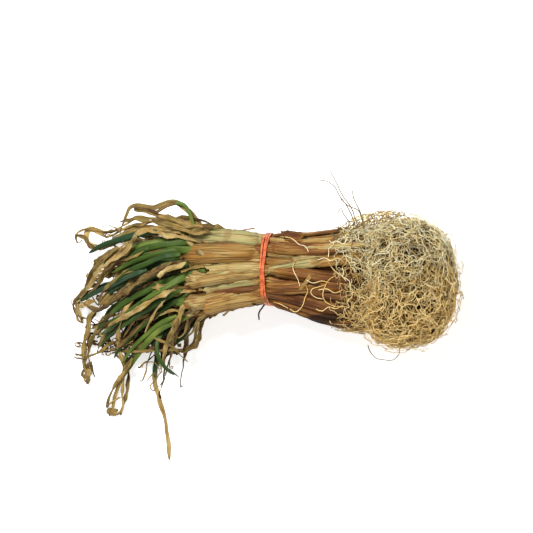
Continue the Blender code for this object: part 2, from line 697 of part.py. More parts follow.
def make_band(layout, stems, material):
    """The rubber band: a strand of BAND_HALF, its width along X, along its closed route."""
    outline = band_outline(layout, stems)
    middle = outline.mean(axis=0)
    corner_size = 1 / math.cos(math.pi / BAND_SIDES)
    bm = bmesh.new()
    rings = []
    for point in band_route(outline, middle):
        out = Vector((0, point[1] - middle[0], point[2] - middle[1])).normalized()
        ring = []
        for k in range(BAND_SIDES):
            angle = math.tau * (k + 0.5) / BAND_SIDES
            along = Vector((corner_size * BAND_HALF[0] * math.cos(angle), 0, 0))
            raised = out * (corner_size * BAND_HALF[1] * math.sin(angle))
            ring.append(bm.verts.new(Vector(point) + along + raised))
        rings.append(ring)
    bridged(bm, rings + rings[:1])
    return make_object("rubber_band", finished_mesh(bm, "band"), [material])


def centre_footprint():
    """Moves every mesh so that the origin is the middle of the footprint, on the surface."""
    objects = [obj for obj in bpy.data.objects if obj.type == "MESH"]
    corners = np.array([v.co for obj in objects for v in obj.data.vertices])
    low, high = corners.min(axis=0), corners.max(axis=0)
    shift = Vector((-(low[0] + high[0]) / 2, -(low[1] + high[1]) / 2, -low[2]))
    for obj in objects:
        for vertex in obj.data.vertices:
            vertex.co += shift
        obj.data.shade_smooth()
        obj.data.set_sharp_from_angle(angle=math.radians(50))
    print("moved by", [round(value / MM, 3) for value in shift], "mm")


def main():
    for obj in list(bpy.data.objects):
        bpy.data.objects.remove(obj)
    rng = random.Random(SEED)
    materials = [make_material(*finish) for finish in FINISHES]
    layout = plan_bunch(rng)
    settle(layout)
    stems = make_seedlings(layout, materials)
    make_roots(layout, stems, materials[3], rng)
    make_band(layout, stems, materials[4])
    centre_footprint()


main()
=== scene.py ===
import math
import random

import bmesh
import bpy
import numpy as np
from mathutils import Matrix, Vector, geometry, noise
from mathutils.bvhtree import BVHTree


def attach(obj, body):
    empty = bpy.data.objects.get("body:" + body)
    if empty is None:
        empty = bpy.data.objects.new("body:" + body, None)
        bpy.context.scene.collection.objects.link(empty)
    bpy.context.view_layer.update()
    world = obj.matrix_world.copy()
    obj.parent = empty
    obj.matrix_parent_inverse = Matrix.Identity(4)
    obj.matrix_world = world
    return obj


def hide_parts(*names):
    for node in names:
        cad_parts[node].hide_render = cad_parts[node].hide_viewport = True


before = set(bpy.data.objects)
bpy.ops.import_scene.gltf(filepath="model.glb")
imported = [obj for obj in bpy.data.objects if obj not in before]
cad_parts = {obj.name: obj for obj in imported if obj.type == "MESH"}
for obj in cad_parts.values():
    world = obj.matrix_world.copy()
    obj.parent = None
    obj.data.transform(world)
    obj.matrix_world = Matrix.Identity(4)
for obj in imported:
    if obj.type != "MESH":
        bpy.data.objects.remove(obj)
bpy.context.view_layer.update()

mm = 0.001
stemKind, greenKind, dryKind = range(3)


# Shader and geometry nodes

def operator(operation, reflected=False):  # a Math node for one of Python's operators
    def apply(wire, value):
        return wire.graph.math(operation, *((value, wire) if reflected else (wire, value)))
    return apply


class Wire:  # a node's output, on which arithmetic adds Math nodes
    __add__ = __radd__ = operator("ADD")
    __mul__ = __rmul__ = operator("MULTIPLY")
    __sub__, __rsub__ = operator("SUBTRACT"), operator("SUBTRACT", True)
    __truediv__, __rtruediv__ = operator("DIVIDE"), operator("DIVIDE", True)
    __pow__ = operator("POWER")

    def __init__(self, graph, socket):
        self.graph, self.socket = graph, socket

    def out(self, name):
        return Wire(self.graph, self.socket.node.outputs[name])


class Graph:  # adds nodes to the tree of a material or of a modifier
    def __init__(self, tree):
        self.tree = tree

    def feed(self, socket, value):
        if isinstance(value, Wire):
            self.tree.links.new(value.socket, socket)
        else:
            socket.default_value = value

    def add(self, kind, settings=None, sockets=None, out=None):  # settings first, then values and links
        node = self.tree.nodes.new(kind)
        for name, value in (settings or {}).items():
            if name == "stops":
                fillRamp(node.color_ramp, value)
            else:
                setattr(node, name, value)
        for name, value in (sockets or {}).items():
            self.feed(next(s for s in node.inputs if s.enabled and s.name == name), value)
        given = [s for s in node.outputs if s.enabled and (out is None or s.name == out)]
        return Wire(self, given[0]) if given else node

    def math(self, operation, *values, clamp=False):
        node = self.tree.nodes.new("ShaderNodeMath")
        node.operation, node.use_clamp = operation, clamp
        for socket, value in zip(node.inputs, values):
            self.feed(socket, value)
        return Wire(self, node.outputs[0])

    def vector(self, operation, *values):
        wire = self.add("ShaderNodeVectorMath", {"operation": operation})
        for socket, value in zip([s for s in wire.socket.node.inputs if s.enabled], values):
            self.feed(socket, value)
        return wire

    def mixed(self, factor, first, second, blend="MIX"):
        settings = {"data_type": "RGBA", "blend_type": blend, "clamp_factor": True}
        return self.add("ShaderNodeMix", settings, {"Factor": factor, "A": first, "B": second})

    def fade(self, value, low, high):  # 0 at low and 1 at high, smooth between
        settings = {"interpolation_type": "SMOOTHSTEP"}
        return self.add("ShaderNodeMapRange", settings, {"Value": value, "From Min": low, "From Max": high})

    def noise(self, vector, scale, detail=3.0, out="Fac", **more):
        sockets = {"Vector": vector, "Scale": scale, "Detail": detail, **more}
        settings = {"noise_dimensions": "4D" if "W" in more else "3D"}
        return self.add("ShaderNodeTexNoise", settings, sockets, out)

    def swirl(self, place, reach, size, **more):  # a smooth random offset, up to about its reach each way
        cloud = self.noise(place, 1 / size, 1.0, "Color", **more)
        return self.vector("SCALE", self.vector("SUBTRACT", cloud, (0.5, 0.5, 0.5)), reach * 2.0)


def colour(red, green, blue):  # the linear colour of an sRGB one given from 0 to 255
    parts = [value / 255 for value in (red, green, blue)]
    return tuple(p / 12.92 if p <= 0.04045 else ((p + 0.055) / 1.055) ** 2.4 for p in parts) + (1.0,)


def fillRamp(ramp, stops):  # each stop: its place, then red, green and blue
    while len(ramp.elements) < len(stops):
        ramp.elements.new(0.5)
    for element, (place, *rgb) in zip(ramp.elements, stops):
        element.position, element.color = place, colour(*rgb)


# Camera, light and floor

stagePlan = {
    "photoWidth": 400 * mm,          # of the surface, across the photograph
    "lens": 135.0,
    "sensor": 36.0,
    "lean": math.radians(5),         # of the camera, towards the root end
    "aim": (0.4 * mm, 2.6 * mm, 35 * mm),  # in the design frame, from the middle of the band
    "floorSize": 60.0,
    "floor": colour(250, 250, 249),
    "floorRoughness": 0.9,
    "glow": 0.6,            # of the floor, so that shadows on it stay faint
    "world": 0.3,
    "lights": {"key_light": ((-0.3, 0.42, 0.95), 0.24, 14.0),  # place from the aim, size, power
               "fill_light": ((0.5, -0.5, 0.8), 0.8, 3.0)},
}
cameraAway = stagePlan["photoWidth"] * stagePlan["lens"] / stagePlan["sensor"]


def placeLight(name, target, place, size, power):
    light = bpy.data.lights.new(name, "AREA")
    light.size, light.energy = size, power
    lamp = bpy.data.objects.new(name, light)
    lamp.location = target + Vector(place)
    lamp.rotation_euler = (-Vector(place)).to_track_quat("-Z", "Y").to_euler()
    bpy.context.scene.collection.objects.link(lamp)


def setStage(shift):
    scene = bpy.context.scene
    scene.view_settings.view_transform = "Standard"
    target = Vector(stagePlan["aim"]) + shift
    camera = bpy.data.objects.new("camera", bpy.data.cameras.new("camera"))
    camera.data.lens, camera.data.sensor_width = stagePlan["lens"], stagePlan["sensor"]
    lean = stagePlan["lean"]
    camera.location = target + cameraAway * Vector((math.sin(lean), 0, math.cos(lean)))
    camera.rotation_euler = (0, lean, 0)
    scene.collection.objects.link(camera)
    scene.camera = camera
    for name, facts in stagePlan["lights"].items():
        placeLight(name, target, *facts)
    world = bpy.data.worlds.new("pale_room")
    world.use_nodes = True
    background = world.node_tree.nodes["Background"].inputs
    background["Color"].default_value = (1, 1, 1, 1)
    background["Strength"].default_value = stagePlan["world"]
    scene.world = world
    half = stagePlan["floorSize"] / 2
    mesh = bpy.data.meshes.new("floor")
    corners = [(-half, -half, 0), (half, -half, 0), (half, half, 0), (-half, half, 0)]
    mesh.from_pydata(corners, [], [(0, 1, 2, 3)])
    paint = Finish("pale_floor", Base_Color=stagePlan["floor"], Roughness=stagePlan["floorRoughness"],
                   Emission_Color=stagePlan["floor"], Emission_Strength=stagePlan["glow"])
    mesh.materials.append(paint.material)
    floor = bpy.data.objects.new("floor", mesh)
    scene.collection.objects.link(floor)


# The bunch's layout, by the same rule and the same draws as its solids

bunchPlan = {
    "seed": 11,
    "rings": (1, 6, 12, 18),
    "stemRadius": (2.9 * mm, 3.9 * mm),
    "stoutRadius": 5.2 * mm,
    "stoutStems": (21, 25, 30),
    "plateX": 76 * mm,
    "sheathTopX": (-62 * mm, -44 * mm),
    "stationX": np.array((-62, -48, -34, -19, 0, 25, 40, 59, 76)) * mm,
    "halfY": np.array((35, 32, 28, 25.5, 24.5, 29, 33, 36, 36)) * mm,
    "halfZ": np.array((22, 22, 22, 21.5, 21.5, 25, 27, 29, 29)) * mm,
    "middleY": np.array((-3, -3, -3, -1, 0, -4, -6.5, -7, -8)) * mm,
    "middleZ": np.array((26, 27, 29, 31, 33, 34, 35, 35, 35)) * mm,
    "stemStepsX": np.array((76, 62, 42, 20, 0, -20, -38)) * mm,
    "swirl": 0.16,
}

leafPlan = {
    "half": {greenKind: (2.7 * mm, 1.7 * mm), dryKind: (2.1 * mm, 0.45 * mm)},  # width, thickness
    "length": {greenKind: (58 * mm, 88 * mm), dryKind: (45 * mm, 85 * mm)},
    "twist": {greenKind: 0.3, dryKind: 1.6},
    "spread": {greenKind: math.radians(9), dryKind: math.radians(15)},
    "size": (0.8, 1.15),
    "taper": 0.62,
    "taperPower": 1.6,
    "leastHalfThick": 0.35 * mm,
    "step": 16 * mm,
    "thirdShare": 0.55,
    "crowding": 20 * mm,
    "clearance": 0.35 * mm,
    "headingUpper": math.radians(176),
    "headingLower": math.radians(212),
    "turn": (math.radians(4), math.radians(34)),
    "dryWander": math.radians(13),
    "tipSink": 0.62,
    "tipSinkSpread": (0.7, 1.25),
    "sinkPower": 1.5,
    "heightWander": 0.6 * mm,
}

settlePlan = {
    "rounds": 260,
    "lastRounds": 160,
    "stemWeight": 0.25,
    "leafWeight": 1.0,
    "stemHold": 0.075,
    "leafHold": 0.006,
    "bendHold": 0.3,
    "lengthHold": 0.25,
    "pairMargin": 2 * mm,
    "pairRounds": 12,
}

greenRoutes = (  # leaves that show by themselves, in millimetres from the sheath to the tip
    ((-64, 29, 40), (-94, 31, 42), (-108, 25, 38), (-122, 19, 34), (-132, 14, 31), (-133, 20, 31),
     (-142, 28, 30), (-133, 30, 31), (-119, 25, 32)),
    ((-64, 21, 44), (-80, 21, 44), (-96, 18, 41), (-112, 10, 36)),
    ((-64, 16, 46), (-82, 16, 44), (-98, 11, 40), (-115, 3, 34)),
    ((-66, 11, 46), (-84, 10, 43), (-101, 4, 37), (-112, -3, 30)),
    ((-68, 6, 44), (-88, 2, 41), (-101, -5, 34), (-114, -14, 27), (-128, -27, 18)),
    ((-88, 3, 30), (-106, -4, 27), (-117, -10, 22), (-128, -15, 18), (-138, -19, 14),
     (-145, -26, 9), (-143, -34, 6), (-140, -40, 3)),
    ((-64, -9, 43), (-84, -13, 38), (-100, -19, 30), (-113, -27, 22), (-125, -37, 13)),
    ((-66, -15, 36), (-86, -22, 31), (-102, -33, 22), (-114, -43, 13), (-125, -52, 7)),
    ((-62, -27, 30), (-78, -35, 24), (-89, -45, 17), (-97, -59, 10), (-107, -77, 5), (-114, -90, 3),
     (-119, -103, 3), (-117, -110, 3)),
    ((-66, -34, 22), (-78, -43, 15), (-84, -59, 8), (-86, -75, 4), (-86, -87, 2), (-81, -102, 2),
     (-77, -117, 1), (-75, -132, 1), (-75, -145, 1)),
    ((-68, -31, 14), (-79, -47, 6), (-82, -62, 3), (-79, -71, 2), (-73, -78, 2), (-67, -81, 2)),
    ((-46, 27, 46), (-54, 36, 49), (-59, 46, 50), (-66, 50, 49), (-77, 47, 48), (-88, 46, 47),
     (-100, 48, 46), (-107, 41, 43), (-108, 33, 40)),
)
dryRoutes = (  # the same for dry leaves
    ((-58, 31, 43), (-74, 36, 46), (-88, 39, 47), (-100, 41, 44), (-109, 36, 41)),
    ((-62, 24, 49), (-76, 28, 50), (-89, 30, 49), (-99, 24, 46), (-110, 15, 41), (-119, 9, 36),
     (-127, 2, 28), (-132, -8, 20), (-138, -13, 13), (-145, -22, 7)),
    ((-66, 3, 48), (-80, 2, 47), (-95, -4, 42), (-108, -14, 34), (-119, -23, 24), (-131, -30, 14),
     (-136, -43, 7), (-137, -58, 3), (-135, -74, 2), (-131, -81, 2)),
    ((-62, -14, 44), (-78, -19, 42), (-96, -28, 33), (-108, -36, 24), (-121, -43, 15)),
    ((-70, -22, 40), (-80, -27, 36), (-88, -37, 29), (-91, -47, 21), (-81, -54, 12), (-68, -64, 5)),
    ((-94, -33, 22), (-106, -39, 15), (-111, -53, 8), (-108, -66, 4), (-106, -80, 3), (-108, -92, 3),
     (-107, -102, 3), (-112, -110, 3)),
    ((-47, -34, 22), (-53, -46, 12), (-55, -57, 5), (-62, -62, 3), (-76, -61, 2), (-90, -61, 2),
     (-104, -61, 2), (-116, -62, 2)),
    ((-58, -33, 16), (-66, -42, 8), (-71, -55, 4)),
)


def atStation(x, name):
    return np.interp(x, bunchPlan["stationX"], bunchPlan[name])


def bundlePlace(x, turn, share, inset):  # on an ellipse round the middle of the bunch at x
    y = atStation(x, "middleY") + share * (atStation(x, "halfY") - inset) * math.cos(turn)
    z = atStation(x, "middleZ") + share * (atStation(x, "halfZ") - inset) * math.sin(turn)
    return x, y, z


def lengthsAlong(path):  # from its start to each point
    return np.concatenate(([0.0], np.cumsum(np.linalg.norm(np.diff(path, axis=0), axis=1))))


def readAlong(wanted, along, rows):  # the rows at the wanted lengths
    return np.stack([np.interp(wanted, along, column) for column in rows.T], axis=-1)


def resampled(route, step):  # points about step apart, with both ends
    route = np.array(route, float)
    along = lengthsAlong(route)
    wanted = np.linspace(0.0, along[-1], max(2, round(along[-1] / step)) + 1)
    return readAlong(wanted, along, route)


def clip01(values):
    return np.clip(values, 0, 1)


def unit(vector, least=0.0):
    return vector / (np.linalg.norm(vector) + least)


class Layout:  # centrelines of all the stems and leaves, as points that chains share
    def __init__(self):
        self.points, self.facts, self.chains = [], [], []

    def add(self, point, *facts):  # its reach, least height, seedling and weight
        self.points.append(np.array(point, float))
        self.facts.append(facts)
        return len(self.points) - 1

    def chain(self, kind, owner, indices, **facts):
        self.chains.append({"kind": kind, "owner": owner, "indices": indices, **facts})


def layStem(layout, owner, ringPlace, radius, rng):
    topX = rng.uniform(*bunchPlan["sheathTopX"])
    angle, share = ringPlace
    swirl = rng.uniform(-bunchPlan["swirl"], bunchPlan["swirl"])
    indices = []
    for x in np.append(bunchPlan["stemStepsX"], topX):
        place = bundlePlace(x, angle + swirl * x / bunchPlan["plateX"], share, radius)
        reach = radius + leafPlan["clearance"] / 2
        indices.append(layout.add(place, reach, radius, owner, settlePlan["stemWeight"]))
    layout.chain(stemKind, owner, indices, radius=radius, ring=share, angle=angle)


def leafRoute(start, kind, rng):  # a leaf fans out with its side of the bundle, bends and sinks
    side = (start[1] - bunchPlan["halfY"][0]) / (-2 * bunchPlan["halfY"][0])
    low, high = leafPlan["headingUpper"], leafPlan["headingLower"]
    heading = low + (high - low) * min(max(side, 0.0), 1.0)
    heading += rng.gauss(0, leafPlan["spread"][kind])
    turn = rng.uniform(*leafPlan["turn"])
    length = rng.uniform(*leafPlan["length"][kind])
    count = max(3, round(length / leafPlan["step"]))
    endHeight = start[2] * (1 - leafPlan["tipSink"] * rng.uniform(*leafPlan["tipSinkSpread"]))
    point = np.array(start, float)
    route = []
    for step in range(1, count + 1):
        share = step / count
        heading += turn / count
        if kind == dryKind:
            heading += rng.gauss(0, leafPlan["dryWander"])
        point = point + length / count * np.array((math.cos(heading), math.sin(heading), 0.0))
        sunk = (endHeight - start[2]) * share ** leafPlan["sinkPower"]
        point[2] = start[2] + sunk + rng.gauss(0, leafPlan["heightWander"])
        route.append(point.copy())
    return route


def layLeaf(layout, stem, kind, route, place, rng):
    owner = stem["owner"]
    halfWidth, halfThick = leafPlan["half"][kind]
    size = rng.uniform(*leafPlan["size"])
    halfWidth, halfThick = halfWidth * size, max(leafPlan["leastHalfThick"], halfThick * size)
    indices = list(stem["indices"][-2:])
    for step, point in enumerate(route):
        taper = 1 - leafPlan["taper"] * ((step + 1) / len(route)) ** leafPlan["taperPower"]
        reach = halfWidth * taper + leafPlan["clearance"]
        indices.append(layout.add(point, reach, halfThick * taper, owner, settlePlan["leafWeight"]))
    twist = rng.uniform(-1.0, 1.0) * leafPlan["twist"][kind]
    layout.chain(kind, owner, indices, halfWidth=halfWidth, halfThick=halfThick, place=place, twist=twist)


def nearestTop(layout, stems, leaves, place):  # seedlings with fewer chosen leaves come first
    def distance(stem):
        gap = np.linalg.norm(layout.points[stem["indices"][-1]] - place)
        return gap + leafPlan["crowding"] * len(leaves[stem["owner"]])
    return min(stems, key=distance)["owner"]


def planBunch(rng):
    layout, stems, rings = Layout(), [], bunchPlan["rings"]
    for ring, count in enumerate(rings):
        for place in range(count):
            owner = len(stems)
            stout = owner in bunchPlan["stoutStems"]
            radius = bunchPlan["stoutRadius"] if stout else rng.uniform(*bunchPlan["stemRadius"])
            angle = math.tau * (place + 0.5 * (ring % 2)) / count
            layStem(layout, owner, (angle, ring / (len(rings) - 1)), radius, rng)
            stems.append(layout.chains[-1])
    leaves = {owner: [] for owner in range(len(stems))}
    chosen = {}
    for kind, routes in ((greenKind, greenRoutes), (dryKind, dryRoutes)):
        for number, route in enumerate(routes):
            route = np.array(route) * mm
            owner = nearestTop(layout, stems, leaves, route[0])
            leaves[owner].append((kind, resampled(route, leafPlan["step"])))
            chosen[owner, len(leaves[owner]) - 1] = number
    for stem in stems:
        own = leaves[stem["owner"]]
        start = layout.points[stem["indices"][-1]]
        third = [rng.choice((greenKind, dryKind))] if rng.random() < leafPlan["thirdShare"] else []
        for kind in ([greenKind, dryKind] + third)[len(own):]:
            own.append((kind, leafRoute(start, kind, rng)))
        for place, (kind, route) in enumerate(own):
            layLeaf(layout, stem, kind, route, place / len(own), rng)
            layout.chains[-1]["route"] = chosen.get((stem["owner"], place))
    return layout, stems


def nearPairs(points, reach, owner, links, margin):  # links of different seedlings that may touch
    a, b = points[links[:, 0]], points[links[:, 1]]
    low = np.minimum(a, b) - reach[links].max(axis=1)[:, None] - margin
    high = np.maximum(a, b) + reach[links].max(axis=1)[:, None] + margin
    first, second = np.triu_indices(len(links), 1)
    apart = owner[links[first, 0]] != owner[links[second, 0]]
    first, second = first[apart], second[apart]
    meet = np.ones(len(first), bool)
    for axis in range(3):
        meet &= (low[first, axis] < high[second, axis]) & (low[second, axis] < high[first, axis])
    return first[meet], second[meet]


def closest(p, d, q, e):  # shares along p + s d and q + t e of their closest points
    r = p - q
    dd, ee = (d * d).sum(1) + 1e-12, (e * e).sum(1) + 1e-12
    dr, er, de = (d * r).sum(1), (e * r).sum(1), (d * e).sum(1)
    s = clip01((de * er - dr * ee) / np.maximum(dd * ee - de * de, 1e-14))
    t = clip01((de * s + er) / ee)
    s = clip01((de * t - dr) / dd)
    return s, t


def pushApart(points, reach, weight, links, pairs):
    i, j = links[pairs[0]].T
    k, m = links[pairs[1]].T
    s, t = closest(points[i], points[j] - points[i], points[k], points[m] - points[k])
    s, t = s[:, None], t[:, None]
    between = points[i] + s * (points[j] - points[i]) - points[k] - t * (points[m] - points[k])
    distance = np.linalg.norm(between, axis=1, keepdims=True)
    firstReach = (1 - s) * reach[i, None] + s * reach[j, None]
    secondReach = (1 - t) * reach[k, None] + t * reach[m, None]
    short = firstReach + secondReach - distance
    touching = short[:, 0] > 0
    push = np.where(distance > 1e-7, between / np.maximum(distance, 1e-7), (0, 0, 1)) * short
    first = weight[i, None] / (weight[i, None] + weight[k, None] + 1e-9)
    move, count = np.zeros_like(points), np.zeros((len(points), 1))
    for index, share, part in ((i, 1 - s, first), (j, s, first), (k, 1 - t, first - 1), (m, t, first - 1)):
        np.add.at(move, index[touching], (part * share * push)[touching])
        np.add.at(count, index[touching], share[touching])
    points += np.where(weight[:, None] > 0, move / np.maximum(count, 1), 0)


def settle(layout):
    points = np.array(layout.points)
    reach, floor, owner, weight = np.array(layout.facts).T.copy()
    isStem = weight < settlePlan["leafWeight"]
    hold = np.where(isStem, settlePlan["stemHold"], settlePlan["leafHold"])[:, None]
    planned = points.copy()
    runs = [chain["indices"] for chain in layout.chains]
    plates = [chain["indices"][0] for chain in layout.chains if chain["kind"] == stemKind]
    links = np.array(sorted({link for run in runs for link in zip(run, run[1:])}))
    bends = np.array([bend for run in runs for bend in zip(run, run[1:], run[2:])])
    lengths = np.linalg.norm(points[links[:, 0]] - points[links[:, 1]], axis=1, keepdims=True)
    curl = points[bends[:, 1]] - (points[bends[:, 0]] + points[bends[:, 2]]) / 2
    for turn in range(settlePlan["rounds"] + settlePlan["lastRounds"]):
        if turn % settlePlan["pairRounds"] == 0:
            pairs = nearPairs(points, reach, owner, links, settlePlan["pairMargin"])
        if turn < settlePlan["rounds"]:
            points += hold * (planned - points)
            move, count = np.zeros_like(points), np.zeros((len(points), 1))
            straight = (points[bends[:, 0]] + points[bends[:, 2]]) / 2 + curl
            np.add.at(move, bends[:, 1], straight - points[bends[:, 1]])
            np.add.at(count, bends[:, 1], 1)
            points += settlePlan["bendHold"] * move / np.maximum(count, 1)
            d = points[links[:, 1]] - points[links[:, 0]]
            size = np.linalg.norm(d, axis=1, keepdims=True)
            stretch = settlePlan["lengthHold"] * (size - lengths) / size * d
            np.add.at(points, links[:, 0], stretch)
            np.add.at(points, links[:, 1], -stretch)
        pushApart(points, reach, weight, links, pairs)
        points[:, 2] = np.maximum(points[:, 2], floor)
        points[plates, 0] = bunchPlan["plateX"]
    layout.points = points


def frameShift(layout, stems):  # from the design frame to the row frame, by the flat ends of the stems
    gaps = []
    for stem in stems:
        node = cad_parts[f"seedling_{stem['owner'] + 1:02d}"]
        corners = np.array([vertex.co for vertex in node.data.vertices])
        plate = corners[corners[:, 0] > corners[:, 0].max() - 0.01 * mm]
        plate = np.unique(plate.round(6), axis=0)
        gaps.append(plate.mean(axis=0) - layout.points[stem["indices"][0]])
    gaps = np.array(gaps)
    print(f"layout: the solids' stems differ by {np.ptp(gaps, axis=0).max() / mm:.3f} mm at most")
    return Vector(np.median(gaps, axis=0))


# Strips that are swept along a path

def measured(path):  # the length along it at each point, and the same as a share of the whole
    along = lengthsAlong(path)
    return along, along / along[-1]


def smoothPath(points, step):  # a curve through the points, sampled about step apart
    points = np.asarray(points, float)
    along = lengthsAlong(points)
    slopes = np.gradient(points, along, axis=0)
    wanted = np.linspace(0, along[-1], max(3, round(along[-1] / step)) + 1)
    cell = np.clip(np.searchsorted(along, wanted, side="right") - 1, 0, len(points) - 2)
    width = (along[cell + 1] - along[cell])[:, None]
    t = (wanted - along[cell])[:, None] / width
    start = (2 * t ** 3 - 3 * t ** 2 + 1) * points[cell] + (t ** 3 - 2 * t ** 2 + t) * width * slopes[cell]
    end = (3 * t ** 2 - 2 * t ** 3) * points[cell + 1] + (t ** 3 - t ** 2) * width * slopes[cell + 1]
    return start + end


def carriedFrames(path):  # side and up directions, carried along without twisting
    tangents = np.gradient(path, axis=0)
    tangents /= np.linalg.norm(tangents, axis=1, keepdims=True)
    side = np.cross((0, 0, 1), tangents[0])
    if np.linalg.norm(side) < 0.2:
        side = np.array((0.0, 1.0, 0.0))
    sides = []
    for tangent in tangents:
        side = unit(side - tangent * side.dot(tangent))
        sides.append(side)
    sides = np.array(sides)
    return sides, np.cross(tangents, sides)


def waves(values, rng, length, count=4):  # a smooth random line between about -1 and 1
    total = np.zeros_like(values)
    for turn in range(count):
        wavelength = length * 0.62 ** turn
        total = total + np.sin(values * math.tau / wavelength + rng.uniform(0, math.tau)) * 0.66 ** turn
    return total / 1.6


def ramp01(values, low, high):  # 0 at low and 1 at high, smooth between
    share = clip01((values - low) / (high - low))
    return share * share * (3 - 2 * share)


def roundSection(size, angles):  # the offsets of corners at these distances from the path
    return np.stack((size * np.cos(angles), size * np.sin(angles)), axis=-1)


def turnedSection(x, y, turned):  # the offsets of a section that turns along the path
    cosine, sine = np.cos(turned)[:, None], np.sin(turned)[:, None]
    return np.stack((x * cosine - y * sine, x * sine + y * cosine), axis=-1)


skinFinish, bladeFinish = 0, 1  # the places of the two materials on a piece made of strips
leastHeight = 0.15 * mm         # above the floor, for any corner of a strip


class Strips:  # gathers the strips of one piece, then makes its mesh
    def __init__(self):
        self.points, self.faces, self.grain, self.tint, self.finishes = [], [], [], [], []
        self.total = 0

    def add(self, path, wanted, offsets, tint, finish, rng, thin=False):
        # wanted: how far along each ring or corner lies; offsets: each corner's place in the path's frame
        count, sides = offsets.shape[:2]
        if wanted.ndim == 1:
            wanted = np.broadcast_to(wanted[:, None], (count, sides))
        along = lengthsAlong(path)
        middle, side, up = (readAlong(wanted.ravel(), along, part) for part in (path, *carriedFrames(path)))
        corners = middle + offsets[..., 0].reshape(-1, 1) * side + offsets[..., 1].reshape(-1, 1) * up
        corners[:, 2] = np.maximum(corners[:, 2], leastHeight)
        index = self.total + np.arange(count * sides).reshape(count, sides)
        after = np.roll(index, -1, axis=1)
        faces = np.stack((index[:-1], after[:-1], after[1:], index[1:]), axis=-1)
        faces = faces.reshape(-1, 4).tolist()
        if thin:  # a folded section: its ends are closed by quads between its two faces
            for ring in (index[0], index[-1]):
                back = ring[::-1]
                faces += [[ring[n], ring[n + 1], back[n + 1], back[n]] for n in range(sides // 2 - 1)]
        else:
            faces += [index[0][::-1].tolist(), index[-1].tolist()]
        grain = np.concatenate((offsets, wanted[..., None]), axis=-1).reshape(-1, 3)
        self.points.append(corners)
        self.faces += faces
        self.grain.append(grain + np.array([rng.uniform(0, 0.4) for _ in range(3)]))
        self.tint.append(np.broadcast_to(tint, (count, sides, 3)).reshape(-1, 3))
        self.finishes += [finish] * len(faces)
        self.total += count * sides

    def piece(self, name, materials, shift):
        mesh = bpy.data.meshes.new(name)
        corners = np.concatenate(self.points) + np.array(shift)
        mesh.from_pydata(corners.tolist(), [], self.faces)
        for label, rows in (("grain", self.grain), ("tint", self.tint)):
            values = mesh.attributes.new(label, "FLOAT_VECTOR", "POINT")
            values.data.foreach_set("vector", np.concatenate(rows).astype(np.float32).ravel())
        for material in materials:
            mesh.materials.append(material)
        mesh.polygons.foreach_set("material_index", self.finishes)
        mesh.update()
        return finishPiece(name, mesh)


def finishPiece(name, mesh):  # normals outward, smooth shading, in the scene
    bm = bmesh.new()
    bm.from_mesh(mesh)
    bmesh.ops.recalc_face_normals(bm, faces=bm.faces)
    bm.to_mesh(mesh)
    bm.free()
    mesh.shade_smooth()
    piece = bpy.data.objects.new(name, mesh)
    bpy.context.scene.collection.objects.link(piece)
    return piece


# Stems and their papery skins

stemLook = {
    "step": 2.4 * mm,
    "sides": 24,
    "hiddenSides": 12,
    "widthX": np.array((-62, -45, -15, -4, 0, 4, 15, 45, 66, 76)) * mm,
    "width": (1.06, 1.14, 1.08, 0.98, 0.95, 0.98, 1.06, 1.2, 1.24, 1.02),
    "flatten": 0.08,
    "lobes": 0.05,
    "ridges": 9,
    "ridgeDepth": 0.13 * mm,
    "topClosing": 7 * mm,
    "rootClosing": 4 * mm,
    "leafToneY": np.array((-30, -18, -15, -12.5, -10, -7, -1, 4, 8, 14, 18, 26)) * mm,
    "leafTone": (0.56, 0.48, 0.48, 0.72, 0.46, 0.24, 0.32, 0.38, 0.5, 0.4, 0.26, 0.22),
    "shadedTurn": (0.55, 1.5),  # painted shade on the side of each stem that faces into the bunch, from the outside of the bunch towards its middle
    "shaded": 0.85,
    "outerRings": 0.6,          # share of the bunch beyond which a stem can be seen
    # painted shade on the stems inside the bunch
    "innerShade": 0.4,
    "rootToneY": np.array((-40, -26, -14, -6, 1, 6, 10, 18, 24, 30)) * mm,
    "rootTone": (0.74, 0.74, 0.78, 0.76, 0.62, 0.28, 0.36, 0.32, 0.38, 0.32),
}


def sheathTone(x, y, own):  # 0 pale green, then straw, ochre, brown, to 1 almost black
    leafSide = np.interp(y, stemLook["leafToneY"], stemLook["leafTone"])
    rootSide = np.interp(y, stemLook["rootToneY"], stemLook["rootTone"])
    rootward = ramp01(x, -6 * mm, 12 * mm)
    mouths = 0.12 * ramp01(-x, 34 * mm, 60 * mm)
    return own + leafSide * (1 - rootward) + rootSide * rootward - mouths + 0.08 * ramp01(x, 30 * mm, 62 * mm)


def bodyRadius(x, radius):  # of a stem of this radius, which is thinner at the waist
    return radius * np.interp(x, stemLook["widthX"], stemLook["width"])


def isOuter(stem):
    return stem["ring"] > stemLook["outerRings"]


def facingOut(stem):  # the turn round the stem's path that faces out of the bunch
    return math.atan2(math.sin(stem["angle"]), -math.cos(stem["angle"]))


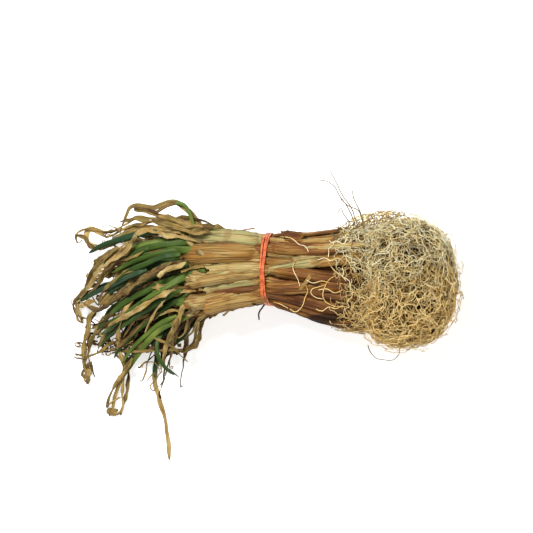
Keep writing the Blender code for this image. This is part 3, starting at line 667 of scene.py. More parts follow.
def stemStrip(strips, layout, stem, rng):
    path = smoothPath(layout.points[stem["indices"]], stemLook["step"])
    along = lengthsAlong(path)
    outer = isOuter(stem)
    angles = np.linspace(0, math.tau, stemLook["sides" if outer else "hiddenSides"], endpoint=False)
    radius = bodyRadius(path[:, 0], stem["radius"])
    for gap, closing in ((along[-1] - along, stemLook["topClosing"]), (along, stemLook["rootClosing"])):
        radius = radius * (0.35 + 0.65 * np.sqrt(1 - (1 - clip01(gap / closing)) ** 2))
    drift = waves(along, rng, 90 * mm)[:, None]
    wide, lobe, ridge = (rng.uniform(0, math.tau) for _ in range(3))
    shape = 1 + stemLook["flatten"] * np.cos(2 * (angles - wide) + 0.5 * drift)
    shape = shape + stemLook["lobes"] * np.cos(3 * (angles - lobe) + 1.4 * drift)
    shape = shape * (1 + 0.035 * waves(along, rng, 30 * mm)[:, None])
    deep = stemLook["ridgeDepth"] * np.cos(stemLook["ridges"] * angles - ridge + 2 * drift)
    size = radius[:, None] * shape + deep
    own = rng.uniform(-0.1, 0.12)
    cornerY = path[:, 1, None] + 0.6 * size * np.cos(angles)
    tone = sheathTone(np.broadcast_to(path[:, 0, None], cornerY.shape), cornerY, own)
    tone = tone + 0.1 * waves(along, rng, 45 * mm)[:, None]
    tone = tone + 0.1 * waves(angles * 12 * mm, rng, 30 * mm)[None, :]
    stain = clip01(0.5 + 0.5 * waves(along, rng, 60 * mm))[:, None] + 0 * tone
    # the dark channel is painted shade: towards the root end inside the ball, on the inner stems, and on each
    # stem's side facing into the bunch
    dark = 0.7 * ramp01(path[:, 0], 62 * mm, 76 * mm) + (0 if outer else stemLook["innerShade"])
    hidden = ramp01(1 - np.cos(angles - facingOut(stem)), *stemLook["shadedTurn"])
    dark = clip01(dark[:, None] + 0 * tone + stemLook["shaded"] * hidden)
    tint = np.stack((tone, stain, dark), axis=-1)
    strips.add(path, along, roundSection(size, angles), tint, skinFinish, rng)
    return path


skinLook = {
    "columns": 16,
    "rows": 18,
    "halfThick": 0.11 * mm,
    "lift": (0.18 * mm, 0.5 * mm),
    "ragged": 5 * mm,
    "leastRagged": 0.75,
    "blendOver": 22 * mm,
    "bandReach": (3 * mm, 11 * mm),  # the layers lie close under the band and lift beyond it
    "flare": 2.2 * mm,
    "flareLength": 9 * mm,
    "liftOver": 12 * mm,
    "edgeCurl": 0.5 * mm,
    "crinkle": 0.16 * mm,
    "innerTear": 0.6,           # how ragged the far end is, beside the near one
    "rimDark": 0.5,
    "layers": (  # on outer stems: how many have it, its ends along X in mm, how far round, how much darker
        (1, (-3, 4), (-68, -50), (2.2, 4.4), (-0.1, 0.14)),
        (0.7, (-4, 4), (58, 74), (1.8, 3.4), (-0.1, 0.18))),
    "looseTorn": 0.35,          # how torn the chosen sheaths are, beside the others
}


def skinStrip(strips, path, radius, facing, wrap, ends, own, rng, paint=None, torn=1.0):
    # a torn papery layer round part of a stem, from ends[0] to ends[1] along X, flaring where it is torn
    rows, columns = skinLook["rows"], skinLook["columns"]
    along = lengthsAlong(path)
    order = np.argsort(path[:, 0])
    first, last = (np.interp(x, path[order, 0], along[order]) for x in ends)
    turn = facing + wrap * np.linspace(-0.5, 0.5, columns)
    ragged = max(torn, skinLook["leastRagged"]) * skinLook["ragged"]
    tear = [ragged * waves(turn * 9 * mm, rng, 20 * mm, 5) for _ in range(2)]
    tornEnd = last + skinLook["innerTear"] * tear[1]
    share = np.linspace(0, 1, rows)[:, None]
    wanted = np.clip((first + tear[0]) * (1 - share) + tornEnd * share, 0, along[-1])
    lift = rng.uniform(*skinLook["lift"]) * ramp01(wanted - first - tear[0], 0, skinLook["liftOver"])
    toEnd = clip01(1 - (tornEnd - wanted) / skinLook["flareLength"])
    flare = torn * skinLook["flare"] * (0.6 + 0.6 * waves(turn * 9 * mm, rng, 12 * mm)) * toEnd ** 2
    rim = np.abs(np.linspace(-1, 1, columns))
    edge = skinLook["edgeCurl"] * rim ** 6 * (1 + waves(wanted, rng, 14 * mm))
    crinkle = torn * skinLook["crinkle"] * waves(wanted + turn * 2 * mm, rng, 14 * mm)
    bodyX = np.interp(wanted, along, path[:, 0])
    body = bodyRadius(bodyX, radius) * (1 - 0.3 * ramp01(-bodyX, 52 * mm, 84 * mm))
    free = 0.1 + 0.9 * ramp01(np.abs(bodyX), *skinLook["bandReach"])
    size = body + free * (lift + flare + edge + crinkle)
    rings = []
    for way in (1, -1):  # out along its outer face, and back along its inner one
        reach = (size + way * skinLook["halfThick"])[:, ::way]
        rings.append(roundSection(reach, turn[::way]))
    offsets = np.concatenate(rings, axis=1)
    wanted = np.concatenate((wanted, wanted[:, ::-1]), axis=1)
    yPlace = np.interp(wanted, along, path[:, 1])
    xPlace = np.interp(wanted, along, path[:, 0])
    shade = sheathTone(xPlace, yPlace, own) + 0.08 * waves(wanted, rng, 40 * mm)
    if paint is not None:
        blendOver = min(skinLook["blendOver"], 0.3 * abs(last - first))
        shade = shade + (paint - shade) * ramp01(wanted - first, 0, blendOver)
    stain = clip01(0.5 + 0.6 * waves(wanted, rng, 24 * mm))
    dark = skinLook["rimDark"] * np.concatenate((rim, rim[::-1])) ** 5 + 0 * shade
    tint = np.stack((shade, stain, dark), axis=-1)
    strips.add(path, wanted, offsets, tint, skinFinish, rng, thin=True)


# Leaves, shreds and flaps

leafLook = {
    "step": 2.1 * mm,
    "greenSides": 12,
    "drySides": 10,
    "hidden": 7 * mm,           # how much of a leaf stays inside its sheath
    "sheathShare": 0.78,        # of the stem's radius, where the leaf comes out
    "spreadOver": 22 * mm,
    "greenWidth": 0.92,
    "widen": {8: 1.0, 9: 0.85, 10: 0.9, 11: 0.9},  # some of the green routes; the others are widened more
    "otherWiden": 1.3,
    "tapering": {9: 0.2, 10: 1.1},
    "greenTone": {0: 0.1, 1: 0.8, 2: 0.6, 3: 0.45, 4: 0.2, 5: 0.05, 6: 0.55, 7: 0.35, 8: 0.38, 9: 0.2,
                  10: 0.3, 11: 0.5},
    "lowestY": -60 * mm,        # how far down the photograph small bits reach
    "drawn": 0.6,               # how far the chosen leaves keep to their own routes after settling
    "curls": {greenKind: 0.35, dryKind: 0.8},   # how many of the leaves end in a curl
    "wavy": {greenKind: 0.4, dryKind: 0.65},
    "greenUntil": {0: 0.5, 5: 0.8, 8: 0.45, 9: 0.5, 10: 1.2, 11: 0.02},  # for some of the green routes
    "otherUntil": (0.7, 1.05),
    "shrink": 0.25,             # of the width, where a green leaf has withered
    "hangingNarrow": 0.55,      # how much of the width is lost below the fan
    "leastHalf": 0.3 * mm,      # of a dry leaf's width
    "buckles": (0, 1, 1, 2),
    "companions": (0, 1, 1, 2),
    "shreds": 2,
    "flaps": 2,
}


def curledEnd(points, rng, radius, turns):  # adds a curl that tightens, in a leaning plane
    points = [np.array(p, float) for p in points]
    tangent = unit(points[-1] - points[-2])
    across = unit(np.cross(tangent, (rng.gauss(0, 0.6), rng.gauss(0, 0.6), rng.choice((-1.0, 1.0)))))
    steps = max(4, round(turns * 9))
    for step in range(steps):
        bend = turns * math.tau / steps
        tangent, across = (tangent * math.cos(bend) + across * math.sin(bend),
                           across * math.cos(bend) - tangent * math.sin(bend))
        reach = radius * (1 - 0.6 * step / steps) * bend
        points.append(points[-1] + tangent * reach)
    return np.array(points)


def leafPath(layout, leaf, stem, rng):
    points = layout.points[leaf["indices"]].copy()
    angle = math.tau * leaf["place"] + 0.9
    points[:2] += 0.4 * stem["radius"] * np.array((0, math.cos(angle), math.sin(angle)))
    along = np.linalg.norm(points[1] - points[0])
    points[0] = points[1] + (points[0] - points[1]) * leafLook["hidden"] / along
    green = leaf["kind"] == greenKind
    if leaf["route"] is not None:
        if green:  # it comes out from under the sheaths
            back = unit(points[2] - points[3])
            points[1] = points[2] + back * 9 * mm - np.array((0, 0, 2.5 * mm))
            points[0] = points[1] + back * leafLook["hidden"] - np.array((0, 0, 2 * mm))
        routes = greenRoutes if green else dryRoutes
        route = resampled(np.array(routes[leaf["route"]]) * mm, leafPlan["step"])
        size, (acrossPixel, downPixel) = strayPlan["pixel"], strayPlan["middle"]
        seen = [pixelPlace((acrossPixel + p[0] / size, downPixel - p[1] / size), z)
                for p, z in zip(route, points[2:, 2])]
        drawn = leafLook["drawn"] * ramp01(np.linspace(0, 1, len(route)), 0.1, 0.7)[:, None]
        points[2:] = points[2:] * (1 - drawn) + np.array(seen) * drawn
    path = smoothPath(points, leafLook["step"])
    if rng.random() < leafLook["curls"][leaf["kind"]] and leaf["route"] is None:
        path = curledEnd(path, rng, rng.uniform(1.2, 3.4) * mm, rng.uniform(0.3, 1.1))
    path = smoothPath(path, leafLook["step"])
    length = lengthsAlong(path)
    sides, ups = carriedFrames(path)
    grow = ramp01(length, 8 * mm, 30 * mm)[:, None]
    small = leafLook["wavy"][leaf["kind"]]
    path = path + sides * (1.1 * mm * small * grow * waves(length, rng, 34 * mm)[:, None])
    return path + ups * (0.7 * mm * small * grow * waves(length, rng, 26 * mm)[:, None])


def bladeStrip(strips, path, width, thick, turned, tint, rng):  # a plump blade with a groove
    angles = np.linspace(0, math.tau, leafLook["greenSides"], endpoint=False)
    x = width[:, None] * np.sign(np.cos(angles)) * np.abs(np.cos(angles)) ** 0.85
    y = thick[:, None] * np.sin(angles)
    groove = rng.choice((-1, 1)) * 0.45 * thick[:, None] * np.exp(-(x / (0.4 * width[:, None])) ** 2)
    y = y - np.where(y * np.sign(groove) > 0, groove, 0)
    strips.add(path, lengthsAlong(path), turnedSection(x, y, turned), tint[:, None, :], bladeFinish, rng)


def hanging(path):  # narrower where it hangs below the fan
    return 1 - leafLook["hangingNarrow"] * ramp01(leafLook["lowestY"] - path[:, 1], 0, 8 * mm)


def greenStrip(strips, layout, leaf, stem, rng):
    path = leafPath(layout, leaf, stem, rng)
    along, share = measured(path)
    chosen = leaf["route"] is not None
    tapering = leafLook["tapering"].get(leaf["route"], 0.7 if chosen else 1)
    taper = 1 - leafPlan["taper"] * tapering * share ** leafPlan["taperPower"]
    opening = ramp01(along, 0, leafLook["spreadOver"])
    mouth = leafLook["sheathShare"] * stem["radius"]
    until = leafLook["greenUntil"].get(leaf["route"], rng.uniform(*leafLook["otherUntil"]))
    wither = ramp01(share, until - 0.06, until + 0.14) + 0.16 * waves(along, rng, 30 * mm)
    if rng.random() < 0.25:
        wither = wither + 0.6 * np.exp(-((along - rng.uniform(0.3, 0.8) * along[-1]) / (9 * mm)) ** 2)
    wither = clip01(wither)
    full = leaf["halfWidth"] * leafLook["greenWidth"]
    if chosen:
        full = full * leafLook["widen"].get(leaf["route"], leafLook["otherWiden"])
    width = (mouth * (1 - opening) + full * opening) * taper
    if not chosen:
        width = width * (1 - leafLook["shrink"] * ramp01(wither, 0.2, 0.9)) * hanging(path)
    thick = (0.8 * mouth * (1 - opening) + leaf["halfThick"] * opening) * taper
    thick = thick * (1 - 0.6 * ramp01(wither, 0.2, 0.9))
    ending = np.sqrt(clip01((along[-1] - along) / (9 * mm)))
    width, thick = width * (0.12 + 0.88 * ending), thick * (0.2 + 0.8 * ending)
    for _ in range(rng.choice(leafLook["buckles"])):  # places where the leaf has buckled flat
        place, size = rng.uniform(0.25, 0.9) * along[-1], rng.uniform(3, 8) * mm
        pinch = np.exp(-((along - place) / size) ** 2)
        width, thick = width * (1 + 0.16 * pinch), thick * (1 - 0.62 * pinch)
    width = width * (1 + 0.07 * waves(along, rng, 26 * mm))
    own = leafLook["greenTone"].get(leaf["route"], rng.uniform(0.1, 0.8))
    tone = own + 0.3 * (1 - ramp01(along, 2 * mm, 16 * mm)) + 0.08 * waves(along, rng, 40 * mm)
    dark = 0.8 * ramp01(share, 0.93, 1.0) * rng.choice((0.2, 1.0))
    turned = leaf["twist"] * share + 0.35 * waves(along, rng, 70 * mm)
    bladeStrip(strips, path, width, thick, turned, np.stack((tone, wither, dark), axis=-1), rng)
    return path


def ribbonStrip(strips, path, width, halfThick, twist, tones, rng, sides=None):
    # a withered strip: folded, pleated, twisted and uneven in width; tones: its tint's middle and spread
    along, share = measured(path)
    angles = np.linspace(0, math.tau, sides or leafLook["drySides"], endpoint=False)
    width = width * (1 + 0.3 * waves(along, rng, 21 * mm))
    width = width * (1 - 0.35 * clip01(waves(along, rng, 40 * mm)))
    width = np.maximum(width, leafLook["leastHalf"])[:, None]
    x = width * np.cos(angles)
    y = halfThick * np.sin(angles) * (1 + 0.4 * waves(along, rng, 15 * mm))[:, None]
    fold = rng.choice((-1, 1)) * (0.35 + 0.35 * waves(along, rng, 50 * mm))[:, None]
    y = y + fold * width * (0.6 - np.abs(np.cos(angles)) ** 1.2)
    y = y + 0.16 * width * np.sin(5.0 * np.cos(angles) + waves(along, rng, 30 * mm)[:, None] * 3)
    turned = twist * share + 0.8 * waves(along, rng, 60 * mm)
    tone = clip01(tones[0] + tones[1] * waves(along, rng, 34 * mm))
    wither = 0.9 + 0.25 * waves(along, rng, 45 * mm)
    dark = 0.75 * ramp01(share, 0.86, 1.0) * rng.choice((0.1, 0.6, 1.0))
    dark = dark + 0.15 * (1 + waves(along, rng, 19 * mm))
    tint = np.stack((tone, clip01(wither), clip01(dark)), axis=-1)[:, None, :]
    strips.add(path, along, turnedSection(x, y, turned), tint, bladeFinish, rng)


def dryStrip(strips, layout, leaf, stem, rng):
    path = leafPath(layout, leaf, stem, rng)
    along = lengthsAlong(path)
    opening = ramp01(along, 0, leafLook["spreadOver"])
    share = along / along[-1]
    taper = 1 - 0.5 * share ** leafPlan["taperPower"]
    mouth = leafLook["sheathShare"] * stem["radius"]
    width = (0.6 * mouth * (1 - opening) + 1.35 * leaf["halfWidth"] * opening) * taper
    width = width * (1 if leaf["route"] is not None else hanging(path))
    ribbonStrip(strips, path, width, 0.3 * mm, leaf["twist"], (rng.uniform(0.1, 0.9), 0.22), rng)
    return path


def aboveEdge(points):  # as many of a small bit's points as keep within the fan
    below = np.flatnonzero(np.array(points)[:, 1] < leafLook["lowestY"])
    return points[:max(4, below[0])] if len(below) else points


companionLook = {
    "aside": (-4.5 * mm, 4.5 * mm),
    "rise": (-5.5 * mm, -0.8 * mm),
    "reach": (0.55, 1.0),       # share of the other leaf's length
    "curls": 0.7,
    "curlRadius": (1.0 * mm, 3.2 * mm),
    "half": (0.9 * mm, 2.1 * mm),
}
shredLook = {
    "joints": (4, 9),
    "step": (3 * mm, 5.5 * mm),
    "curlRadius": (1 * mm, 2.6 * mm),
    "half": (0.45 * mm, 1.0 * mm),
}
flapLook = {
    "joints": (4, 8),
    "step": 2.4 * mm,
    "half": (1.5 * mm, 3.4 * mm),
}


def companionStrip(strips, path, rng):  # a narrow dry leaf that keeps another leaf company
    sides, ups = carriedFrames(path)
    along = lengthsAlong(path)
    grow = ramp01(along, 0, 25 * mm)[:, None]
    aside = rng.uniform(*companionLook["aside"]) + 1.6 * mm * waves(along, rng, 80 * mm)[:, None]
    rise = rng.uniform(*companionLook["rise"]) + 0.6 * mm * waves(along, rng, 50 * mm)[:, None]
    path = path + grow * (sides * aside + ups * rise)
    last = max(8, round(len(path) * rng.uniform(*companionLook["reach"])))
    points = aboveEdge(path[:last:3])
    if rng.random() < companionLook["curls"]:
        points = curledEnd(points, rng, rng.uniform(*companionLook["curlRadius"]), rng.uniform(0.3, 1.2))
    path = smoothPath(points, 2 * mm)
    path[:, 2] = np.maximum(path[:, 2], 0.7 * mm)
    share = np.linspace(0, 1, len(path))
    width = rng.uniform(*companionLook["half"]) * (1 - 0.5 * share ** 1.5)
    ribbonStrip(strips, path, width, 0.22 * mm, rng.uniform(-1.5, 1.5), (rng.uniform(0.0, 0.9), 0.2), rng, 8)


def shredStrip(strips, path, rng):  # a thin curled bit that hangs from a leaf
    start = rng.randrange(len(path) // 5, max(len(path) // 5 + 1, len(path) - 6))
    heading = unit(path[min(start + 3, len(path) - 1)] - path[start], 1e-9)
    point, points = path[start].copy(), [path[start].copy()]
    swing = rng.uniform(-0.5, 0.5)
    for _ in range(rng.randrange(*shredLook["joints"])):
        swing += rng.gauss(0, 0.35)
        turned = np.array((heading[0] * math.cos(swing) - heading[1] * math.sin(swing),
                           heading[0] * math.sin(swing) + heading[1] * math.cos(swing), heading[2] - 0.12))
        point = point + turned * rng.uniform(*shredLook["step"])
        point[2] = max(point[2], 0.6 * mm)
        points.append(point.copy())
    points = aboveEdge(smoothPath(points, 2 * mm))
    points = curledEnd(points, rng, rng.uniform(*shredLook["curlRadius"]), rng.uniform(0.3, 1.3))
    path = smoothPath(points, 1.6 * mm)
    share = np.linspace(0, 1, len(path))
    width = rng.uniform(*shredLook["half"]) * (1 - 0.5 * share)
    ribbonStrip(strips, path, width, 0.18 * mm, rng.uniform(-3, 3), (rng.uniform(0.3, 1.0), 0.2), rng, 4)


def flapStrip(strips, path, radius, rng):  # a torn bit of sheath at the top of a stem
    end = path[-1]
    outward = np.array((0.0, end[1] - atStation(end[0], "middleY"), end[2] - atStation(end[0], "middleZ")))
    outward = unit(outward, 1e-9) + np.array((0, rng.gauss(0, 0.4), rng.gauss(0, 0.4)))
    start = path[-rng.randrange(4, 12)] + outward * radius * 0.9
    along = unit(path[-1] - path[-4])
    points = [start + along * flapLook["step"] * n + outward * mm * (0.25 * n + 0.09 * n * n)
              for n in range(rng.randrange(*flapLook["joints"]))]
    path = smoothPath(points, 1.1 * mm)
    share = np.linspace(0, 1, len(path))
    width = rng.uniform(*flapLook["half"]) * (1 - 0.55 * share ** 2)
    ribbonStrip(strips, path, width, 0.14 * mm, rng.uniform(-0.8, 0.8), (rng.uniform(0.0, 0.5), 0.2), rng, 8)


# Finishes

class Finish(Graph):  # a Principled material; plain values go straight on its sockets
    def __init__(self, name, **plain):
        self.material = bpy.data.materials.new(name)
        self.material.use_nodes = True
        super().__init__(self.material.node_tree)
        self.shader = self.tree.nodes["Principled BSDF"]
        for socket, value in plain.items():
            self.shader.inputs[socket.replace("_", " ")].default_value = value

    def read(self, name, out="Vector"):
        return self.add("ShaderNodeAttribute", {"attribute_name": name}, {}, out)

    def parts(self, wire):
        split = self.add("ShaderNodeSeparateXYZ", {}, {"Vector": wire})
        return split, split.out("Y"), split.out("Z")

    def ramp(self, value, stops):
        return self.add("ShaderNodeValToRGB", {"stops": stops}, {"Fac": value}, "Color")

    def place(self):
        return self.add("ShaderNodeTexCoord", {}, {}, "Object")

    def streaks(self, grain, scale, detail):  # noise that is stretched along the strip
        return self.noise(self.vector("MULTIPLY", grain, scale), 1.0, detail)

    # mixes a colour over the shade; the callers use it both for real stains and streaks and for painted shade
    # and painted highlights
    def stainOrPaintedLight(self, factor, shade, rgb):
        return self.mixed(factor, shade, colour(*rgb))

    def finish(self, shade, roughness, height, distance, strength=1.0):
        self.feed(self.shader.inputs["Base Color"], shade)
        self.feed(self.shader.inputs["Roughness"], roughness)
        bump = self.add("ShaderNodeBump", {}, {"Height": height, "Distance": distance, "Strength": strength})
        self.feed(self.shader.inputs["Normal"], bump)
        return self.material


skinPaint = {
    "ramp": ((0.0, 152, 148, 94), (0.14, 176, 158, 104), (0.3, 166, 134, 76), (0.46, 148, 106, 47),
             (0.62, 124, 76, 28), (0.8, 92, 48, 15), (1.0, 48, 22, 7)),  # place, red, green, blue
    "streak": (700, 700, 20),   # noise across the strip, twice, and along it
    "fine": (1900, 1900, 30),
    "blotch": (200, 200, 50),
    "fold": (330, 330, 9),
    "rust": (104, 62, 26),
    "line": (96, 62, 28),
    "pale": (220, 200, 146),
    "seam": (92, 58, 26),
    # crease is painted shade in the fine creases; dark is painted shade, also used for the darker skin rims
    "crease": (70, 42, 18),
    "dark": (34, 18, 7),
    "hollowX": (45 * mm, 17 * mm),    # middle and half of the painted shadow in the hollow between the stems
    "hollowY": (-1.6 * mm, 4.0 * mm),
    "bump": 0.26 * mm,
}


def sheathSkin():
    f, paint = Finish("sheath_skin", Specular_IOR_Level=0.16), skinPaint
    grain = f.read("grain")
    # the tint's third channel is painted shade from the stems, together with the darker rims of the skins
    tone, stain, dark = f.parts(f.read("tint"))
    streak = f.streaks(grain, paint["streak"], 4.0)
    fine = f.streaks(grain, paint["fine"], 3.0)
    blotch = f.streaks(grain, paint["blotch"], 4.0)
    tone = tone + (streak - 0.5) * 0.56 + (fine - 0.5) * 0.34 + (blotch - 0.5) * 0.5
    shade = f.ramp(tone, paint["ramp"])
    rust = f.fade(blotch * 0.6 + stain * 0.45 + streak * 0.25, 0.72, 0.92)
    shade = f.stainOrPaintedLight(rust * 0.4, shade, paint["rust"])
    shade = f.stainOrPaintedLight(f.fade(fine, 0.55, 0.68) * 0.5, shade, paint["line"])
    shade = f.stainOrPaintedLight(f.fade(fine, 0.44, 0.3) * 0.22, shade, paint["pale"])
    shade = f.stainOrPaintedLight(f.fade(streak, 0.6, 0.66) * 0.45, shade, paint["seam"])
    # painted shade in the fine lengthwise creases, with a matching dip in the bump
    fold = f.streaks(grain, paint["fold"], 2.0)
    crease = f.fade(f.math("ABSOLUTE", fold - 0.5), 0.045, 0.0)
    shade = f.stainOrPaintedLight(crease * 0.6, shade, paint["crease"])
    # painted shadow in the hollow between the stems, added to the painted shade of the tint
    x, y, _ = f.parts(f.place())
    (middleX, halfX), (middleY, halfY) = paint["hollowX"], paint["hollowY"]
    hollowShadow = 1 - ((x - middleX) / halfX) ** 2.0 - ((y - middleY) / halfY) ** 2.0
    dark = f.math("MAXIMUM", dark, f.fade(hollowShadow + (streak - 0.5) * 0.8, -0.2, 0.6) * 0.92)
    shade = f.stainOrPaintedLight(dark, shade, paint["dark"])
    return f.finish(shade, 0.44 + 0.25 * streak, fine * 0.4 + streak * 0.7 - crease * 0.9, paint["bump"])


bladePaint = {
    "fresh": ((0.0, 34, 60, 38), (0.25, 38, 62, 22), (0.5, 58, 80, 26), (0.78, 84, 104, 38),
              (1.0, 128, 138, 64)),
    "withered": ((0.0, 190, 168, 112), (0.22, 172, 138, 76), (0.42, 134, 118, 64), (0.62, 124, 98, 56),
                 (0.82, 84, 60, 32), (1.0, 48, 32, 15)),
    "streak": (1100, 1100, 30),
    "fine": (2300, 2300, 60),
    "blotch": (160, 160, 110),
    "vein": (104, 122, 66),
    "line": (74, 50, 24),
    "dark": (52, 34, 18),
    "bump": 0.3 * mm,
}


def leafBlade():
    f, paint = Finish("leaf_blade", Specular_IOR_Level=0.18), bladePaint
    grain = f.read("grain")
    tone, wither, dark = f.parts(f.read("tint"))
    streak = f.streaks(grain, paint["streak"], 4.0)
    fine = f.streaks(grain, paint["fine"], 3.0)
    blotch = f.streaks(grain, paint["blotch"], 4.0)
    fresh = f.ramp(tone + (streak - 0.5) * 0.34 + (blotch - 0.5) * 0.22, paint["fresh"])
    fresh = f.stainOrPaintedLight(f.fade(fine, 0.52, 0.72) * 0.3, fresh, paint["vein"])
    old = f.ramp(tone + (streak - 0.5) * 0.95 + (blotch - 0.5) * 0.6, paint["withered"])
    old = f.stainOrPaintedLight(f.fade(fine, 0.5, 0.64) * 0.6, old, paint["line"])
    aged = f.fade(wither + (streak - 0.5) * 0.5 + (blotch - 0.5) * 0.7, 0.36, 0.56)
    # dark: the darker leaf tips, and painted shade on the low leaves beneath the fan
    shade = f.stainOrPaintedLight(dark * 0.85, f.mixed(aged, fresh, old), paint["dark"])
    return f.finish(shade, 0.46 + 0.26 * aged, fine * 0.5 + streak * (0.4 + 0.7 * aged), paint["bump"])


rootPaint = {
    "ramp": ((0.0, 112, 78, 32), (0.3, 202, 164, 92), (0.65, 248, 220, 150), (1.0, 255, 248, 206)),
    "goldenFrom": 55 * mm,      # along Y, where the roots begin to turn golden, and where they all are
    "goldenTo": 0 * mm,
    "grey": (150, 130, 84),
    "golden": (232, 182, 100),
    "cast": (255, 240, 205),
    # painted shade of the deeper strands
    "deep": (46, 26, 4),
    "heart": ((26, 16, 5), (84, 60, 26)),
}


def rootFibre():
    f, paint = Finish("root_fibre", Specular_IOR_Level=0.3), rootPaint
    place = f.place()
    across = f.parts(place)[1]
    strand, depth = f.read("strand", "Fac"), f.read("depth", "Fac")
    mottle = f.noise(place, 420.0, 3.0)
    golden = f.fade(across, paint["goldenFrom"], paint["goldenTo"])
    shade = f.ramp(strand * 1.15 + mottle * 0.8 + golden * 0.12 - 0.22, paint["ramp"])
    shade = f.stainOrPaintedLight((1 - golden) * 0.12, shade, paint["grey"])
    shade = f.stainOrPaintedLight(golden * 0.25, shade, paint["golden"])
    shade = f.mixed(golden, shade, colour(*paint["cast"]), "MULTIPLY")
    # painted shade on the strands that lie deeper in the ball, by their depth
    shade = f.stainOrPaintedLight(f.math("MULTIPLY", 1 - depth, 0.97, clamp=True), shade, paint["deep"])
    return f.finish(shade, 0.6 + 0.2 * mottle, mottle, 0.2 * mm)


def twoTone(f, factor, low, high):
    return f.mixed(factor, colour(*low), colour(*high))


# the dense inside of the root ball, under the strands; its near-black brown is painted shade seen through the
# gaps
def rootHeart():
    f = Finish("root_shade", Specular_IOR_Level=0.1)
    weave = f.noise(f.place(), 700.0, 5.0)
    shade = twoTone(f, f.fade(weave, 0.4, 0.7), *rootPaint["heart"])
    return f.finish(shade, 0.9 + 0 * weave, weave, 0.8 * mm)


def rubberStrand():
    f = Finish("rubber_strand", Specular_IOR_Level=0.5, Coat_Weight=0.15)
    place = f.place()
    cloud = f.noise(place, 260.0, 4.0)
    fine = f.noise(place, 2400.0, 3.0)
    shade = twoTone(f, f.fade(cloud, 0.4, 0.62), *bandLook["colours"])
    # painted highlight: pale fine streaks along the rubber
    shade = f.stainOrPaintedLight(f.fade(fine, 0.52, 0.7) * 0.45, shade, bandLook["paintedHighlight"])
    return f.finish(shade, 0.38 + 0.2 * fine, fine, 0.12 * mm)


def hairFibre():
    f = Finish("hair_root", Specular_IOR_Level=0.3)
    cloud = f.noise(f.place(), 300.0, 2.0)
    shade = twoTone(f, cloud, *strayPlan["hairColours"])
    return f.finish(shade, 0.7 + 0 * cloud, cloud, 0.05 * mm)


# Roots and threads, by geometry nodes

rootBall = {
    "centre": Vector((104 * mm, -9.5 * mm, 33 * mm)),
    "half": Vector((34 * mm, 43.5 * mm, 34.5 * mm)),
    "squareness": 2.35,
    "faceX": 76.4 * mm,
    "lowest": 0.3 * mm,
    "lump": 3.2 * mm,
    "lumps": 4.2,
    "lumpPlace": Vector((3.1, 0.7, 5.2)),
    "detail": 5,
    "heartShare": 0.87,
}
rootSets = {  # by the tree's inputs: strands per square metre, lift from the ball's surface, and how little painted shade the strands get
    "roots_deep": {"Seed": 3, "Density": 30000.0, "Low": -5.5 * mm, "High": -2 * mm, "Length": 34 * mm,
                   "Depth": 0.05, "Points": 14},
    "roots_middle": {"Seed": 8, "Density": 53000.0, "Low": -2.5 * mm, "High": 2 * mm, "Length": 36 * mm,
                     "Depth": 0.28},
    "roots_outer": {"Seed": 21, "Density": 65000.0, "Low": 0.8 * mm, "High": 5.5 * mm, "Length": 32 * mm,
                    "Depth": 1.0},
    "roots_loose": {"Seed": 33, "Density": 12000.0, "Low": 3.0 * mm, "High": 11.5 * mm, "Length": 20 * mm,
                    "Depth": 1.0},
}
collarSet = {"Seed": 40, "Density": 76000.0, "Low": -0.6 * mm, "High": 3.5 * mm, "Length": 30 * mm,
             "Depth": 0.9}
rootLook = {"Radius": 0.325 * mm, "Points": 24, "Sides": 3, "Wander": 6 * mm, "Wander size": 24 * mm,
            "Curl": 5.0 * mm, "Curl size": 4.1 * mm, "Floor": 0.45 * mm}
collarLook = {"fromX": 50 * mm, "fullX": 64 * mm, "toX": 84 * mm, "steps": 14, "sides": 48, "out": 1.0 * mm,
              "lowest": 0.5 * mm, "centre": Vector((66 * mm, -7.5 * mm, 35 * mm))}


def newTree(name, inputs):  # a geometry nodes tree with named inputs for its sizes
    tree = bpy.data.node_groups.new(name, "GeometryNodeTree")
    tree.interface.new_socket("Geometry", in_out="INPUT", socket_type="NodeSocketGeometry")
    tree.interface.new_socket("Geometry", in_out="OUTPUT", socket_type="NodeSocketGeometry")
    for label, kind in inputs.items():
        tree.interface.new_socket(label, in_out="INPUT", socket_type="NodeSocket" + kind)
    graph = Graph(tree)
    entry = tree.nodes.new("NodeGroupInput")
    return graph, {socket.name: Wire(graph, socket) for socket in entry.outputs if socket.name}


def closeTree(graph, geometryWire, material):
    smooth = graph.add("GeometryNodeSetShadeSmooth", {}, {"Geometry": geometryWire})
    real = graph.add("GeometryNodeRealizeInstances", {}, {"Geometry": smooth})
    painted = graph.add("GeometryNodeSetMaterial", {}, {"Geometry": real, "Material": material})
    leave = graph.tree.nodes.new("NodeGroupOutput")
    graph.tree.links.new(painted.socket, leave.inputs[0])
    return graph.tree


def stored(graph, geometryWire, name, value, domain):
    settings = {"data_type": "FLOAT", "domain": domain}
    sockets = {"Geometry": geometryWire, "Name": name, "Value": value}
    return graph.add("GeometryNodeStoreNamedAttribute", settings, sockets)


def tubed(graph, curve, radius, sides):
    ring = graph.add("GeometryNodeCurvePrimitiveCircle", {}, {"Resolution": sides, "Radius": 1.0}, "Curve")
    sockets = {"Curve": curve, "Profile Curve": ring, "Scale": radius, "Fill Caps": True}
    return graph.add("GeometryNodeCurveToMesh", {}, sockets)


